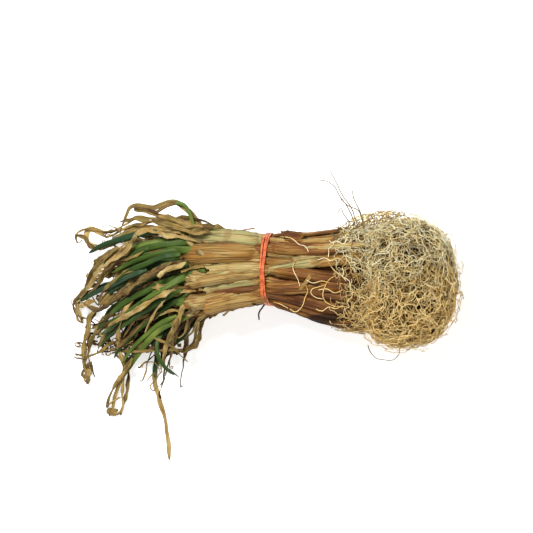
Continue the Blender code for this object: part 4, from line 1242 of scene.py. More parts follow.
def rootTree():  # strands scattered over a surface, wandering and curling at their own heights above it
    sizes = ("Density", "From X", "Full X", "Length", "Wander", "Wander size", "Curl", "Curl size", "Low",
             "High", "Depth", "Radius", "Floor")
    kinds = {"Seed": "Int", "Points": "Int", "Sides": "Int", "Centre": "Vector", "Material": "Material"}
    g, given = newTree("root_strands", {**dict.fromkeys(sizes, "Float"), **kinds})

    def chance(low, high, turn):  # a random number for each strand
        sockets = {"Min": low, "Max": high, "Seed": given["Seed"] + turn}
        return g.add("FunctionNodeRandomValue", {"data_type": "FLOAT"}, sockets)

    place = g.add("GeometryNodeInputPosition")
    placeX = g.add("ShaderNodeSeparateXYZ", {}, {"Vector": place})
    share = g.math("DIVIDE", placeX - given["From X"], given["Full X"] - given["From X"], clamp=True)
    scatter = g.add("GeometryNodeDistributePointsOnFaces", {"distribute_method": "RANDOM"},
                    {"Mesh": given["Geometry"], "Density": given["Density"] * share ** 2.0,
                     "Seed": given["Seed"]}, "Points")
    half = given["Length"] * 0.5
    start = g.add("ShaderNodeCombineXYZ", {}, {"X": 0 - half})
    end = g.add("ShaderNodeCombineXYZ", {}, {"X": half})
    line = g.add("GeometryNodeCurvePrimitiveLine", {"mode": "POINTS"}, {"Start": start, "End": end})
    line = g.add("GeometryNodeResampleCurve", {"mode": "COUNT"}, {"Curve": line, "Count": given["Points"]})
    turned = g.add("ShaderNodeCombineXYZ", {}, {"Z": chance(0.0, math.tau, 1)})
    turned = g.add("FunctionNodeEulerToRotation", {}, {"Euler": turned})
    turned = g.add("FunctionNodeRotateRotation", {"rotation_space": "LOCAL"},
                   {"Rotation": scatter.out("Rotation"), "Rotate By": turned})
    stretch = g.add("ShaderNodeCombineXYZ", {}, {"X": chance(0.45, 1.3, 2), "Y": 1.0, "Z": 1.0})
    copies = g.add("GeometryNodeInstanceOnPoints", {}, {"Points": scatter, "Instance": line,
                                                        "Rotation": turned, "Scale": stretch})
    own = []
    for name, turn in (("strand", 3), ("height", 4)):
        copies = stored(g, copies, name, chance(0.0, 1.0, turn), "INSTANCE")
        own.append(g.add("GeometryNodeInputNamedAttribute", {}, {"Name": name}, "Attribute"))
    strand, height = own
    curves = g.add("GeometryNodeRealizeInstances", {}, {"Geometry": copies})
    moved = place
    for name, offset in (("Wander", 0.0), ("Curl", 7.0)):
        swirl = g.swirl(place, given[name], given[name + " size"], W=strand * 97.0 + offset)
        moved = g.vector("ADD", moved, swirl)
    near = g.add("GeometryNodeProximity", {"target_element": "FACES"},
                 {"Geometry": given["Geometry"], "Sample Position": moved}, "Position")
    outward = g.vector("NORMALIZE", g.vector("SUBTRACT", near, given["Centre"]))
    rise = g.noise(place, 90.0, 1.0, "Fac", W=strand * 31.0)
    lift = given["Low"] + (given["High"] - given["Low"]) * (height * 0.7 + (rise - 0.5) * 1.1 + 0.15)
    final = g.vector("ADD", near, g.vector("SCALE", outward, lift))
    final = g.add("ShaderNodeSeparateXYZ", {}, {"Vector": final})
    above = g.math("MAXIMUM", final.out("Z"), given["Floor"])
    final = g.add("ShaderNodeCombineXYZ", {}, {"X": final, "Y": final.out("Y"), "Z": above})
    curves = g.add("GeometryNodeSetPosition", {}, {"Geometry": curves, "Position": final})
    # depth sets the painted shade in root_fibre: the lower strands get darker
    depth = given["Depth"] * (0.6 + 0.4 * height) + 0.25 * (rise - 0.5)
    curves = stored(g, curves, "depth", depth, "POINT")
    factor = g.add("GeometryNodeSplineParameter", {}, {}, "Factor")
    radius = given["Radius"] * (0.7 + 0.65 * strand) * (1 - 0.55 * factor)
    return closeTree(g, tubed(g, curves, radius, given["Sides"]), given["Material"])


def threadTree():  # one thread along each curve, with a tremble and a thinner end
    sizes = ("Step", "Tremble", "Tremble size", "Radius", "End share")
    kinds = {"Sides": "Int", "Material": "Material"}
    g, given = newTree("thread", {**dict.fromkeys(sizes, "Float"), **kinds})
    curve = g.add("GeometryNodeResampleCurve", {"mode": "LENGTH"},
                  {"Curve": given["Geometry"], "Length": given["Step"]})
    place = g.add("GeometryNodeInputPosition")
    shake = g.swirl(place, given["Tremble"], given["Tremble size"])
    curve = g.add("GeometryNodeSetPosition", {}, {"Geometry": curve, "Offset": shake})
    factor = g.add("GeometryNodeSplineParameter", {}, {}, "Factor")
    curve = stored(g, curve, "strand", factor, "POINT")
    # depth 1: no painted shade on the threads
    curve = stored(g, curve, "depth", 1.0, "POINT")
    radius = given["Radius"] * (1 - (1 - given["End share"]) * factor)
    return closeTree(g, tubed(g, curve, radius, given["Sides"]), given["Material"])


def grown(name, host, tree, values):  # the tree's result on the host, as a plain mesh
    modifier = host.modifiers.new("grow", "NODES")
    modifier.node_group = tree
    for item in tree.interface.items_tree:
        if item.in_out == "INPUT" and item.name in values:
            modifier[item.identifier] = values[item.name]
    bpy.context.view_layer.update()
    graph = bpy.context.evaluated_depsgraph_get()
    mesh = bpy.data.meshes.new_from_object(host.evaluated_get(graph))
    host.modifiers.clear()
    mesh.name = name
    print(f"{name}: {sum(len(face.vertices) - 2 for face in mesh.polygons)} triangles")
    return finishPiece(name, mesh)


def ballSurface(direction, share):
    plan = rootBall
    total = sum(abs(direction[axis] / plan["half"][axis]) ** plan["squareness"] for axis in range(3))
    crease = abs(noise.noise(direction * plan["lumps"] + plan["lumpPlace"]))
    return share * (total ** (-1 / plan["squareness"]) + plan["lump"] * (0.5 - 2 * crease))


def ballMesh(name, share, shift):  # the ball's surface, flat where it meets the floor and the stems
    bm = bmesh.new()
    bmesh.ops.create_icosphere(bm, subdivisions=rootBall["detail"], radius=1.0)
    for vertex in bm.verts:
        direction = vertex.co.normalized()
        place = rootBall["centre"] + direction * ballSurface(direction, share)
        place.x = max(place.x, rootBall["faceX"])
        place.z = max(place.z, rootBall["lowest"])
        vertex.co = place + shift
    mesh = bpy.data.meshes.new(name)
    bm.to_mesh(mesh)
    bm.free()
    return mesh


def collarMesh(shift):  # the surface over the stems' root ends, for the roots that lie on them
    points, faces = [], []
    count = collarLook["sides"]
    for x in np.linspace(collarLook["fromX"], collarLook["toX"], collarLook["steps"]):
        for turn in np.linspace(0, math.tau, count, endpoint=False):
            x, y, z = bundlePlace(x, turn, 1, -collarLook["out"])
            points.append(Vector((x, y, max(z, collarLook["lowest"]))) + shift)
    for ring in range(collarLook["steps"] - 1):
        for n in range(count):
            m = (n + 1) % count
            faces.append((ring * count + n, (ring + 1) * count + n, (ring + 1) * count + m, ring * count + m))
    mesh = bpy.data.meshes.new("collar")
    mesh.from_pydata(points, [], faces)
    return mesh


def makeRoots(shift, fibre, shade):
    heart = finishPiece("root_heart", ballMesh("root_heart", rootBall["heartShare"], shift))
    heart.data.materials.append(shade)
    pieces = [heart]
    ball = bpy.data.objects.new("ball_host", ballMesh("ball_host", 1.0, shift))
    collar = bpy.data.objects.new("collar_host", collarMesh(shift))
    for host in (ball, collar):
        bpy.context.scene.collection.objects.link(host)
    tree = rootTree()
    faceX = rootBall["faceX"] + shift.x
    common = {**rootLook, "Material": fibre, "Centre": rootBall["centre"] + shift,
              "From X": faceX - 1 * mm, "Full X": faceX + 0.5 * mm}
    for name, plan in rootSets.items():
        pieces.append(grown(name, ball, tree, {**common, **plan}))
    common.update({"Centre": collarLook["centre"] + shift, "From X": collarLook["fromX"] + shift.x,
                   "Full X": collarLook["fullX"] + shift.x})
    pieces.append(grown("roots_collar", collar, tree, {**common, **collarSet}))
    for host in (ball, collar):
        bpy.data.objects.remove(host)
    return pieces


def threadPiece(name, routes, tree, values, cyclic=False):
    data = bpy.data.curves.new(name + "_route", "CURVE")
    data.dimensions = "3D"
    for route in routes:
        spline = data.splines.new("POLY")
        spline.points.add(len(route) - 1)
        spline.points.foreach_set("co", np.c_[np.array(route), np.ones(len(route))].ravel())
        spline.use_cyclic_u = cyclic
    host = bpy.data.objects.new(name + "_route", data)
    bpy.context.scene.collection.objects.link(host)
    piece = grown(name, host, tree, values)
    bpy.data.objects.remove(host)
    return piece


# The rubber band

bandLook = {
    "turns": 3,
    "steps": 110,
    "radius": 0.76 * mm,
    "pitch": 1.6 * mm,
    "gap": 0.05 * mm,
    "crossing": 26,
    "crossingLift": 1.5 * mm,
    "weave": 0.35 * mm,
    "skew": 0.6 * mm,
    "bow": 4.5 * mm,        # how far its top lies nearer the leaves than its sides do
    "rootward": 3 * mm,
    "colours": ((184, 72, 26), (220, 112, 56)),
    # colour of the painted highlight on the rubber
    "paintedHighlight": (248, 170, 124),
}


def bandRoute(layout, stems):
    angles = np.linspace(0, math.tau, 40, endpoint=False)
    corners = []
    for stem in stems:
        line = layout.points[stem["indices"]][::-1]
        reach = stem["radius"] * 0.97 + bandLook["gap"] + bandLook["radius"]
        y, z = (np.interp(0.0, line[:, 0], line[:, axis]) for axis in (1, 2))
        corners += [Vector((y + reach * math.cos(a), z + reach * math.sin(a))) for a in angles]
    outline = np.array([corners[n] for n in geometry.convex_hull_2d(corners)])
    outline = np.vstack((outline, outline[:1]))
    along = lengthsAlong(outline)
    wanted = np.linspace(0, along[-1], bandLook["steps"] + 1)[:-1]
    outline = readAlong(wanted, along, outline)
    middle = outline.mean(axis=0)
    lowest = int(np.argmin(outline[:, 1]))
    total = bandLook["turns"] * bandLook["steps"]
    winding = total - bandLook["crossing"]
    width = bandLook["pitch"] * (bandLook["turns"] - 1 / 2)
    points = []
    for step in range(total):
        yz = outline[(lowest + step) % bandLook["steps"]]
        crossing = max(0.0, (step - winding) / bandLook["crossing"])
        along = 1 - crossing if crossing else step / winding
        out = (yz - middle) / np.linalg.norm(yz - middle)
        yz = yz + out * bandLook["crossingLift"] * math.sin(math.pi * crossing)
        turn = math.tau * step / bandLook["steps"]
        x = width * (along - 0.5) + bandLook["weave"] * math.sin(2.3 * turn)
        x += bandLook["skew"] * math.cos(turn - math.pi / 2 - 0.4)
        height = max(0.0, (yz[1] - middle[1]) / (0.5 * np.ptp(outline[:, 1])))
        x += bandLook["rootward"] - bandLook["bow"] * height
        points.append((x, yz[0], yz[1]))
    return points


# Stray bits, placed by where the photograph shows them and laid on the bundle

strayPlan = {
    "pixel": 0.75 * mm,       # what a pixel of the photograph spans, at the height of the camera's aim
    "middle": (266, 270),     # the pixel of the design frame's origin
    "rootRadius": 0.37 * mm,
    "hairRadius": 0.5 * mm,
    "darkRadius": 0.8 * mm,
    "edgeRadius": 0.42 * mm,
    "tremble": 0.5 * mm,
    "step": 1.5,              # in pixels
    "slack": 12,              # how often a stray root is drawn taut over what it lies on
    "lift": 0.6 * mm,
    "ballLift": 7 * mm,
    "sideHeight": 40 * mm,
    "hairColours": ((76, 62, 38), (140, 120, 80)),
}
strayRoots = (
    ((328, 262), (334, 270), (342, 276), (346, 281)),
    ((336, 275), (328, 281), (325, 287), (323, 295), (324, 299), (331, 305), (337, 307), (344, 307),
     (346, 312), (350, 319), (352, 325)),
    ((325, 285), (318, 287), (312, 289), (311, 293), (315, 297), (323, 299)),
    ((295, 261), (293, 266), (295, 274), (298, 280), (300, 286)),
    ((306, 285), (308, 291), (305, 298), (303, 305), (300, 309), (295, 312), (290, 309)),
    ((346, 332), (355, 328), (361, 322), (364, 315), (367, 311)),
    ((279, 237), (291, 238), (295, 241), (300, 245), (305, 246), (309, 252)),
    ((343, 290), (335, 293), (327, 289), (319, 290)),
    ((273, 302), (280, 304), (288, 308)),
    ((330, 283), (322, 281), (313, 283), (306, 280)),
    ((344, 262), (337, 258), (331, 261), (325, 258), (318, 260)),
    ((344, 305), (336, 309), (329, 307), (322, 311), (316, 309)),
)
edgeRoots = (  # round the edge of the ball
    ((448, 268), (455, 274), (458, 283), (457, 293), (450, 301)),
    ((422, 336), (429, 330), (436, 333), (432, 339), (438, 337)),
    ((368, 345), (371, 353), (376, 358), (385, 360), (393, 360), (399, 354), (399, 345)),
    ((444, 309), (451, 315), (444, 320), (438, 321)),
)
tuftPlan = {  # in pixels of the photograph: the loose roots over the ball's upper edge
    "seed": 12,
    "count": 70,
    "across": (343, 404),
    "edgeX": (343, 350, 362, 375, 388, 404),
    "edgeY": (226, 219, 214, 211, 210, 211),
    "depth": 16,
    "step": 4.0,
    "bend": 0.9,
}
fineHairs = (
    ((357, 230), (354, 221), (347, 206), (340, 196), (334, 186), (326, 181), (316, 180)),
    ((359, 230), (356, 221), (351, 207), (343, 196), (337, 184), (333, 176), (330, 170)),
    ((365, 229), (363, 221), (359, 209), (353, 197), (352, 190)),
    ((364, 229), (362, 220), (358, 210), (349, 206), (341, 199)),
    ((352, 230), (349, 222), (343, 213), (341, 208), (338, 213)),
)
darkHairs = (
    ((266, 303), (262, 308), (259, 313), (259, 320)),
    ((252, 304), (257, 305), (262, 304)),
)
looseStems = (  # radius at each end in millimetres, tone, pixels
    ((3.0, 2.6), 0.2, ((300, 249), (316, 249), (334, 248), (345, 247), (357, 246), (370, 245), (383, 243))),
    ((1.6, 1.3), 0.32, ((311, 275), (307, 281), (303, 286), (299, 291))),
    ((0.6, 0.5), 0.5, ((233, 232), (244, 230), (256, 228))),
)
looseSheaths = (  # radius, tone, lift as a share of it, how far round it goes, pixels to its torn end
    (7.0, 0.02, 0.8, 2.7, ((268, 243), (256, 243), (247, 242), (235, 241), (218, 240), (203, 240),
        (193, 241))),
    (7.0, 0.41, 0.72, 2.9, ((268, 255), (255, 254), (240, 254), (218, 254), (200, 255), (184, 257))),
    (3.4, 0.22, 0.4, 2.6, ((268, 267), (255, 267), (240, 268), (218, 270), (204, 272))),
    (3.2, 0.32, 0.4, 2.6, ((268, 274), (255, 274), (240, 276), (218, 279), (200, 282), (180, 286))),
    (3.4, 0.1, 0.4, 2.6, ((268, 281), (255, 281), (240, 283), (218, 286), (203, 289))),
    (2.4, 0.74, 0.5, 2.4, ((266, 288), (254, 289), (236, 290), (212, 292))),
    (6.0, 0.36, 0.34, 2.3, ((268, 296), (256, 297), (236, 300), (216, 304), (205, 307))),
    (4.6, 0.74, 0.5, 2.4, ((307, 239), (304, 239), (297, 239), (288, 238), (280, 238))),
    (2.6, 0.06, 0.3, 2.2, ((324, 260), (312, 263), (298, 265), (283, 268), (266, 271))),
    (1.7, 0.04, 0.4, 2.2, ((330, 255), (318, 256), (306, 258), (290, 261))),
    (5.2, 0.6, 0.2, 2.0, ((352, 286), (336, 284), (318, 285), (300, 287), (266, 288))),
)
looseLeaves = (  # half width, tone, where it stops being green, lift, pixels from the sheath outward
    (2.3, 0.5, 1.3, 1, ((195, 241), (175, 243), (155, 246), (135, 252), (118, 261))),
    (2.2, 0.55, 1.3, 1, ((192, 248), (170, 251), (150, 256), (130, 263), (112, 273))),
    (2.1, 0.3, 1.3, 1, ((180, 254), (160, 258), (145, 264), (130, 271), (116, 282))),
    (2.5, 0.05, 1.3, 1, ((172, 229), (152, 231), (135, 235), (115, 241), (99, 247), (89, 253))),
    (1.9, 0.0, 0.9, 1, ((146, 270), (128, 277), (112, 285), (97, 292), (84, 299), (74, 304))),
    (2.2, 0.2, 1.3, 1, ((180, 265), (160, 272), (140, 282), (121, 295), (106, 306), (97, 312))),
    (2.2, 0.45, 1.3, 1, ((184, 275), (166, 281), (146, 291), (126, 302), (109, 316), (97, 330))),
    (2.2, 0.35, 1.3, 1, ((182, 290), (164, 298), (146, 309), (128, 321), (111, 334), (98, 348))),
    (2.1, 0.82, 1.3, 1, ((194, 314), (178, 320), (163, 328), (149, 340), (137, 356), (127, 372))),
    (1.5, 0.4, 1.3, 1, ((163, 330), (158, 342), (157, 354), (163, 366), (174, 375))),
    (1.7, 0.76, 1.3, 1, ((176, 316), (160, 324), (145, 336), (131, 350), (122, 364))),
    (2.9, 0.34, 0, 3, ((240, 233), (228, 231), (215, 229), (203, 226), (190, 224), (175, 220), (160, 216),
        (146, 211), (134, 208))),
    (2.4, 0.42, 0, 2, ((212, 233), (195, 231), (178, 227), (162, 223), (148, 221), (136, 218), (128, 222))),
    (1.4, 0.55, 0, 2, ((214, 227), (200, 226), (185, 223), (170, 221), (155, 219), (145, 218), (137, 217),
        (130, 220), (124, 222), (121, 228), (120, 233))),
    (1.3, 0.75, 0.42, 5, ((194, 228), (192, 222), (189, 212), (184, 205), (178, 203), (172, 204), (163, 208),
        (156, 212), (150, 210), (140, 208), (131, 207))),
    (0.8, 0.9, 0, 3, ((215, 226), (204, 221), (195, 219), (183, 219), (172, 219))),
    (2.3, 0.1, 0, 3, ((197, 241), (185, 238), (170, 235), (158, 232), (147, 230), (140, 232), (133, 240),
        (127, 248), (118, 256), (108, 262), (97, 272), (92, 282), (85, 292), (79, 298))),
    (1.9, 0.28, 0, 3, ((180, 233), (160, 228), (150, 227), (140, 228), (130, 231), (122, 234), (112, 239))),
    (2.7, 0.6, 0, 3, ((172, 262), (162, 268), (150, 275), (140, 281), (130, 288), (120, 295), (110, 303),
        (100, 309), (90, 308), (84, 304))),
    (2.1, 0.14, 0, 4, ((175, 289), (160, 296), (150, 302), (140, 308), (130, 314), (118, 320), (108, 326))),
    (1.4, 0.04, 0, 3, ((165, 300), (158, 307), (153, 315), (149, 323), (145, 333))),
    (0.9, 0.3, 0, 1, ((150, 334), (157, 339), (165, 343), (174, 349), (182, 356), (188, 362))),
    (1.2, 0.66, 0, 1, ((100, 282), (88, 288), (80, 295), (74, 302), (73, 308), (77, 316), (80, 322))),
    (2.1, 0.3, 0, 1, ((97, 308), (90, 318), (87, 330), (85, 342), (84, 352), (84, 362), (85, 372))),
    (2.4, 0.2, 0, 1, ((84, 366), (88, 370), (87, 376), (84, 379), (86, 382))),
    (1.7, 0.45, 0, 1, ((103, 316), (98, 328), (92, 340), (89, 350), (86, 360), (83, 368))),
    (1.6, 0.2, 0, 1, ((121, 321), (119, 332), (118, 342), (120, 352), (123, 364), (124, 376), (123, 386),
        (122, 396), (123, 404), (121, 411), (117, 415))),
    (1.6, 0.36, 0, 1, ((132, 358), (125, 371), (118, 381), (112, 391), (108, 400), (107, 408))),
    (1.3, 0.12, 0, 1, ((121, 397), (114, 401), (107, 406))),
    (2.6, 0.34, 0, 1, ((107, 409), (111, 412), (117, 414))),
    (1.6, 0.4, 0, 1, ((109, 416), (113, 411), (118, 410))),
    (2.9, 0.5, 0, 2, ((118, 247), (108, 254), (99, 263), (92, 273), (88, 283), (84, 290))),
    (2.2, 0.66, 0, 3, ((133, 248), (122, 254), (113, 262), (104, 272), (97, 282))),
    (1.6, 0.2, 0, 1, ((73, 305), (76, 312), (78, 320), (82, 323))),
    (2.4, 0.18, 0, 2, ((79, 307), (86, 304), (95, 301))),
    (1.0, 0.5, 0, 1, ((201, 316), (196, 330), (193, 344), (185, 352), (174, 350), (158, 351), (142, 351),
        (125, 352), (111, 349), (93, 355), (82, 359), (74, 357), (82, 354))),
    (0.9, 0.3, 0, 1, ((142, 368), (143, 364), (148, 362), (155, 364), (159, 369))),
    (1.6, 0.5, 0, 1, ((172, 323), (173, 331), (171, 340), (169, 343))),
    (1.0, 0.6, 0, 1, ((188, 316), (187, 326), (184, 334), (178, 338), (174, 334))),
    (1.0, 0.45, 0, 1, ((95, 259), (94, 265), (91, 262))),
    (1.9, 0.6, 0, 1, ((92, 362), (85, 368), (82, 375), (88, 378), (87, 384))),
    (1.4, 0.4, 0, 2, ((118, 230), (104, 232), (92, 229), (80, 231), (75, 236), (77, 243))),
    (1.7, 0.6, 0, 2, ((98, 250), (90, 246), (84, 237), (76, 236), (78, 243), (82, 240))),
    (1.6, 0.66, 0, 1, ((118, 340), (110, 344), (104, 340), (98, 345), (92, 341), (86, 346))),
    (1.3, 0.35, 0, 1, ((133, 341), (122, 345), (112, 342), (100, 352), (86, 356), (75, 354))),
    (1.3, 0.5, 0, 1, ((150, 350), (137, 352), (124, 351), (112, 353))),
    (1.8, 0.62, 0, 2, ((168, 288), (150, 300), (134, 313), (120, 328), (108, 338))),
    (1.8, 0.7, 0, 2, ((158, 312), (144, 323), (131, 335), (119, 346), (110, 351))),
    (1.6, 0.5, 0, 2, ((150, 246), (134, 256), (118, 262), (107, 272), (97, 286), (88, 294))),
    (2.0, 0.5, 1.3, 0, ((178, 284), (158, 292), (140, 304), (122, 318), (106, 331), (97, 338))),
    (2.0, 0.3, 1.3, 0, ((186, 297), (170, 304), (152, 318), (136, 331), (121, 347), (114, 358))),
    (2.5, 0.7, 1.3, 1, ((205, 271), (192, 274), (180, 279), (168, 286), (154, 294), (140, 303))),
    (1.5, 0.3, 0, 2, ((134, 300), (124, 311), (116, 322), (106, 333), (100, 345), (97, 352))),
    (1.2, 0.75, 0, 2, ((150, 283), (136, 291), (124, 301), (113, 313), (104, 321), (96, 325))),
    (1.5, 0.45, 0, 2, ((150, 262), (138, 268), (126, 272), (116, 279), (106, 288), (98, 300))),
    (1.0, 0.55, 0, 2, ((178, 318), (176, 328), (172, 336), (174, 342), (171, 338))),
    (1.1, 0.5, 0, 2, ((203, 312), (197, 322), (192, 333), (187, 337))),
    (0.9, 0.3, 0, 1, ((199, 322), (197, 332), (193, 343), (186, 350), (188, 352))),
    (1.1, 0.2, 0, 6, ((206, 232), (196, 234), (184, 231), (170, 228))),
    (1.4, 0.2, 0, 4, ((213, 264), (203, 266), (192, 268), (181, 272))),
    (2.4, 0.0, 0, 5, ((186, 262), (179, 266), (171, 268), (163, 272), (158, 277))),
)


def pixelPlace(pixel, height):  # the point at a height that the camera sees at a pixel
    lean, size = stagePlan["lean"], strayPlan["pixel"]
    aimX, aimY, aimZ = stagePlan["aim"]
    u = (pixel[0] - strayPlan["middle"][0]) * size - aimX
    v = (strayPlan["middle"][1] - pixel[1]) * size - aimY
    depth = 0.0  # how much farther the place is from the camera than its aim
    for _ in range(4):
        depth = (-u * (1 + depth / cameraAway) * math.sin(lean) - (height - aimZ)) / math.cos(lean)
    scale = 1 + depth / cameraAway
    x = u * scale * math.cos(lean) - depth * math.sin(lean)
    return np.array((aimX + x, aimY + v * scale, height))


def stemTop(place, tops):  # how high the stems reach at a place, bridging the gaps between them
    near = np.abs(tops[:, 0] - place[0]) < 2 * mm
    y, z, radius = tops[near, 1:].T
    aside = np.abs(y - place[1])
    over = aside < radius + 1.5 * mm
    if not over.any():
        return atStation(place[0], "middleZ") + 0.3 * atStation(place[0], "halfZ")
    rise = np.sqrt(np.maximum(radius[over] ** 2 - aside[over] ** 2, 0))
    return (z[over] + rise).max()


def overBundle(pixel, lift, tops):  # the place on the stems' upper surface that shows at the pixel
    place = pixelPlace(pixel, 55 * mm)
    for _ in range(4):
        place = pixelPlace(pixel, stemTop(place, tops) + lift)
    return place


def overLeaves(pixel, lift, samples):  # the same over the leaves, by the highest one that is near
    place = pixelPlace(pixel, 25 * mm)
    for _ in range(4):
        gap = np.hypot(samples[:, 0] - place[0], samples[:, 1] - place[1])
        near = samples[gap < max(7 * mm, gap.min() + 2 * mm)]
        place = pixelPlace(pixel, near[:, 2].max() + lift)
    return place


def seenPlace(pixel, surfaces, height, shift):  # on the pieces that show there, or at a height beside them
    start, end = (Vector(pixelPlace(pixel, z)) + shift for z in (150 * mm, 0))
    way = (end - start).normalized()
    gaps = []
    for surface, lift in surfaces:
        reached = surface.ray_cast(start, way)[3]
        if reached is not None:
            gaps.append(reached - lift)
    if not gaps:
        return pixelPlace(pixel, height)
    return np.array(start + way * min(gaps) - shift)


def strayRoute(route, surfaces, shift):  # laid along the pixels on what shows there, in the row frame
    pixels = smoothPath([(*pixel, 0) for pixel in route], strayPlan["step"])
    heights = [strayPlan["sideHeight"]]
    for pixel in pixels:
        heights.append(seenPlace(pixel, surfaces, heights[-1], shift)[2])
    heights = np.array(heights[1:])
    for _ in range(strayPlan["slack"]):
        heights[1:-1] = np.maximum(heights[1:-1], (heights[:-2] + heights[2:]) / 2)
    return [pixelPlace(pixel, height) + shift for pixel, height in zip(pixels, heights)]


def tuftRoute(rng):
    plan = tuftPlan
    x, down, heading = rng.uniform(*plan["across"]), plan["depth"] * rng.random(), rng.uniform(0, math.tau)
    route = []
    for _ in range(rng.randrange(4, 8)):
        route.append((x, np.interp(x, plan["edgeX"], plan["edgeY"]) + down))
        heading += rng.gauss(0, plan["bend"])
        x += plan["step"] * math.cos(heading)
        down = abs(down + plan["step"] * math.sin(heading))
    return route


def stemSamples(layout, stems):
    rows = []
    for stem in stems:
        path = smoothPath(layout.points[stem["indices"]], 1.5 * mm)
        rows.append(np.column_stack((path, bodyRadius(path[:, 0], stem["radius"]))))
    return np.concatenate(rows)


def leafSamples(layout):
    runs = [chain["indices"] for chain in layout.chains]
    return np.concatenate([smoothPath(layout.points[run], 4 * mm) for run in runs])


def looseLeafStrip(strips, samples, plan, rng):
    halfWidth, tone, greenUntil, lift, pixels = plan
    points = np.array([overLeaves(pixel, lift * mm, samples) for pixel in pixels])
    points[1:-1, 2] = (points[:-2, 2] + 2 * points[1:-1, 2] + points[2:, 2]) / 4
    path = smoothPath(points, 1.6 * mm)
    along, share = measured(path)
    if greenUntil:
        path[:, 2] -= 4 * mm * (1 - ramp01(along, 0, 12 * mm))  # its lower end is tucked in
        width = 1.12 * halfWidth * mm * np.interp(share, (0, 0.1, 0.6, 0.94, 1), (0.6, 1, 0.94, 0.55, 0.2))
        width = width * (1 + 0.05 * waves(along, rng, 30 * mm))
        wither = ramp01(share, greenUntil - 0.1, greenUntil + 0.1) + 0.12 * waves(along, rng, 40 * mm)
        wither = clip01(wither)
        tones = tone + 0.2 * (1 - ramp01(along, 0, 14 * mm)) + 0.08 * waves(along, rng, 50 * mm)
        tint = np.stack((tones, wither, 0.6 * ramp01(share, 0.93, 1)), axis=-1)
        bladeStrip(strips, path, width, 0.62 * width, 0.5 * waves(along, rng, 90 * mm), tint, rng)
        return
    width = 1.15 * halfWidth * mm * np.interp(share, (0, 0.16, 0.6, 1), (0.25, 1, 0.9, 0.5))
    ribbonStrip(strips, path, width, 0.24 * mm, rng.uniform(-0.4, 0.4), (tone, 0.14), rng, 10)


underPlan = {  # in the design frame: where the low leaves of the fan start, and how they run
    "seed": 5,
    "count": 74,
    "startX": (-84 * mm, -58 * mm),
    "startY": (-36 * mm, 24 * mm),
    "startZ": (9 * mm, 22 * mm),
    "heading": (math.radians(216), math.radians(180)),
    "spread": math.radians(7),
    "length": (26 * mm, 54 * mm),
    "tipZ": 3 * mm,
    "half": (1.5 * mm, 2.7 * mm),
    "leastX": -123 * mm,
}
curlPlan = {  # in pixels of the photograph: where the curled bits lie
    "seed": 14,
    "count": 34,
    "across": (96, 152),
    "down": (324, 350),
    "height": (2 * mm, 9 * mm),
    "half": (0.7 * mm, 1.35 * mm),
}


def underLeafStrip(strips, rng):  # a low leaf that closes the fan beneath the leaves that show
    plan = underPlan
    point = np.array([rng.uniform(*plan[name]) for name in ("startX", "startY", "startZ")])
    side = (point[1] - plan["startY"][0]) / (plan["startY"][1] - plan["startY"][0])
    heading = plan["heading"][0] * (1 - side) + plan["heading"][1] * side + rng.gauss(0, plan["spread"])
    length, points = rng.uniform(*plan["length"]), [point]
    for _ in range(7):
        heading += rng.gauss(0.03, 0.07)
        step = length / 7 * np.array((math.cos(heading), math.sin(heading), 0))
        point = point + step
        point[2] += (plan["tipZ"] - point[2]) * 0.22
        if point[0] < plan["leastX"]:
            break
        points.append(point.copy())
    path = smoothPath(points, 2.6 * mm)
    along, share = measured(path)
    half = rng.uniform(*plan["half"])
    width = half * np.interp(share, (0, 0.1, 0.6, 1), (0.8, 1, 0.9, 0.4))
    if rng.random() < 0.45:
        # the blades get a fixed dark of 0.3: painted shade on the leaves beneath the fan
        shape = np.stack((rng.uniform(0.1, 0.7) + 0 * share, 0.1 + 0 * share, 0.3 + 0 * share), axis=-1)
        bladeStrip(strips, path, width, 0.5 * width, 0.4 * waves(along, rng, 60 * mm), shape, rng)
    else:
        ribbonStrip(strips, path, width, 0.2 * mm, rng.uniform(-1, 1), (rng.uniform(0.3, 0.8), 0.15), rng, 8)


def curlStrip(strips, rng):  # a dry curled bit in the tangle at the lower edge of the fan
    plan = curlPlan
    pixel = rng.uniform(*plan["across"]), rng.uniform(*plan["down"])
    point = pixelPlace(pixel, rng.uniform(*plan["height"]))
    heading, points = rng.uniform(0, math.tau), [point]
    for _ in range(rng.randrange(2, 5)):
        heading += rng.gauss(0, 0.6)
        point = point + rng.uniform(2.5, 5) * mm * np.array((math.cos(heading), math.sin(heading), 0))
        point[2] = max(1.2 * mm, point[2] + rng.gauss(0, 1.2) * mm)
        points.append(point.copy())
    points = curledEnd(points, rng, rng.uniform(1.2, 2.8) * mm, rng.uniform(0.4, 1.1))
    points[:, 2] = np.maximum(points[:, 2], 0.9 * mm)
    path = smoothPath(points, 1.5 * mm)
    width = rng.uniform(*plan["half"]) * (1 - 0.3 * np.linspace(0, 1, len(path)))
    ribbonStrip(strips, path, width, 0.2 * mm, rng.uniform(-2, 2), (rng.uniform(0.25, 0.85), 0.15), rng, 6)


def looseSheathStrip(strips, tops, plan, rng):
    radius, tone, lift, wrap, pixels = plan
    lifts = radius * mm * np.array([-1.04, -0.84] + [lift - 1] * (len(pixels) - 2))
    path = smoothPath([overBundle(pixel, height, tops) for pixel, height in zip(pixels, lifts)], 2 * mm)
    ends = (path[0, 0] - 2 * mm, path[-1, 0] + 2 * mm)
    skinStrip(strips, path, radius * mm, math.pi / 2, wrap, ends, 0, rng, tone, skinLook["looseTorn"])


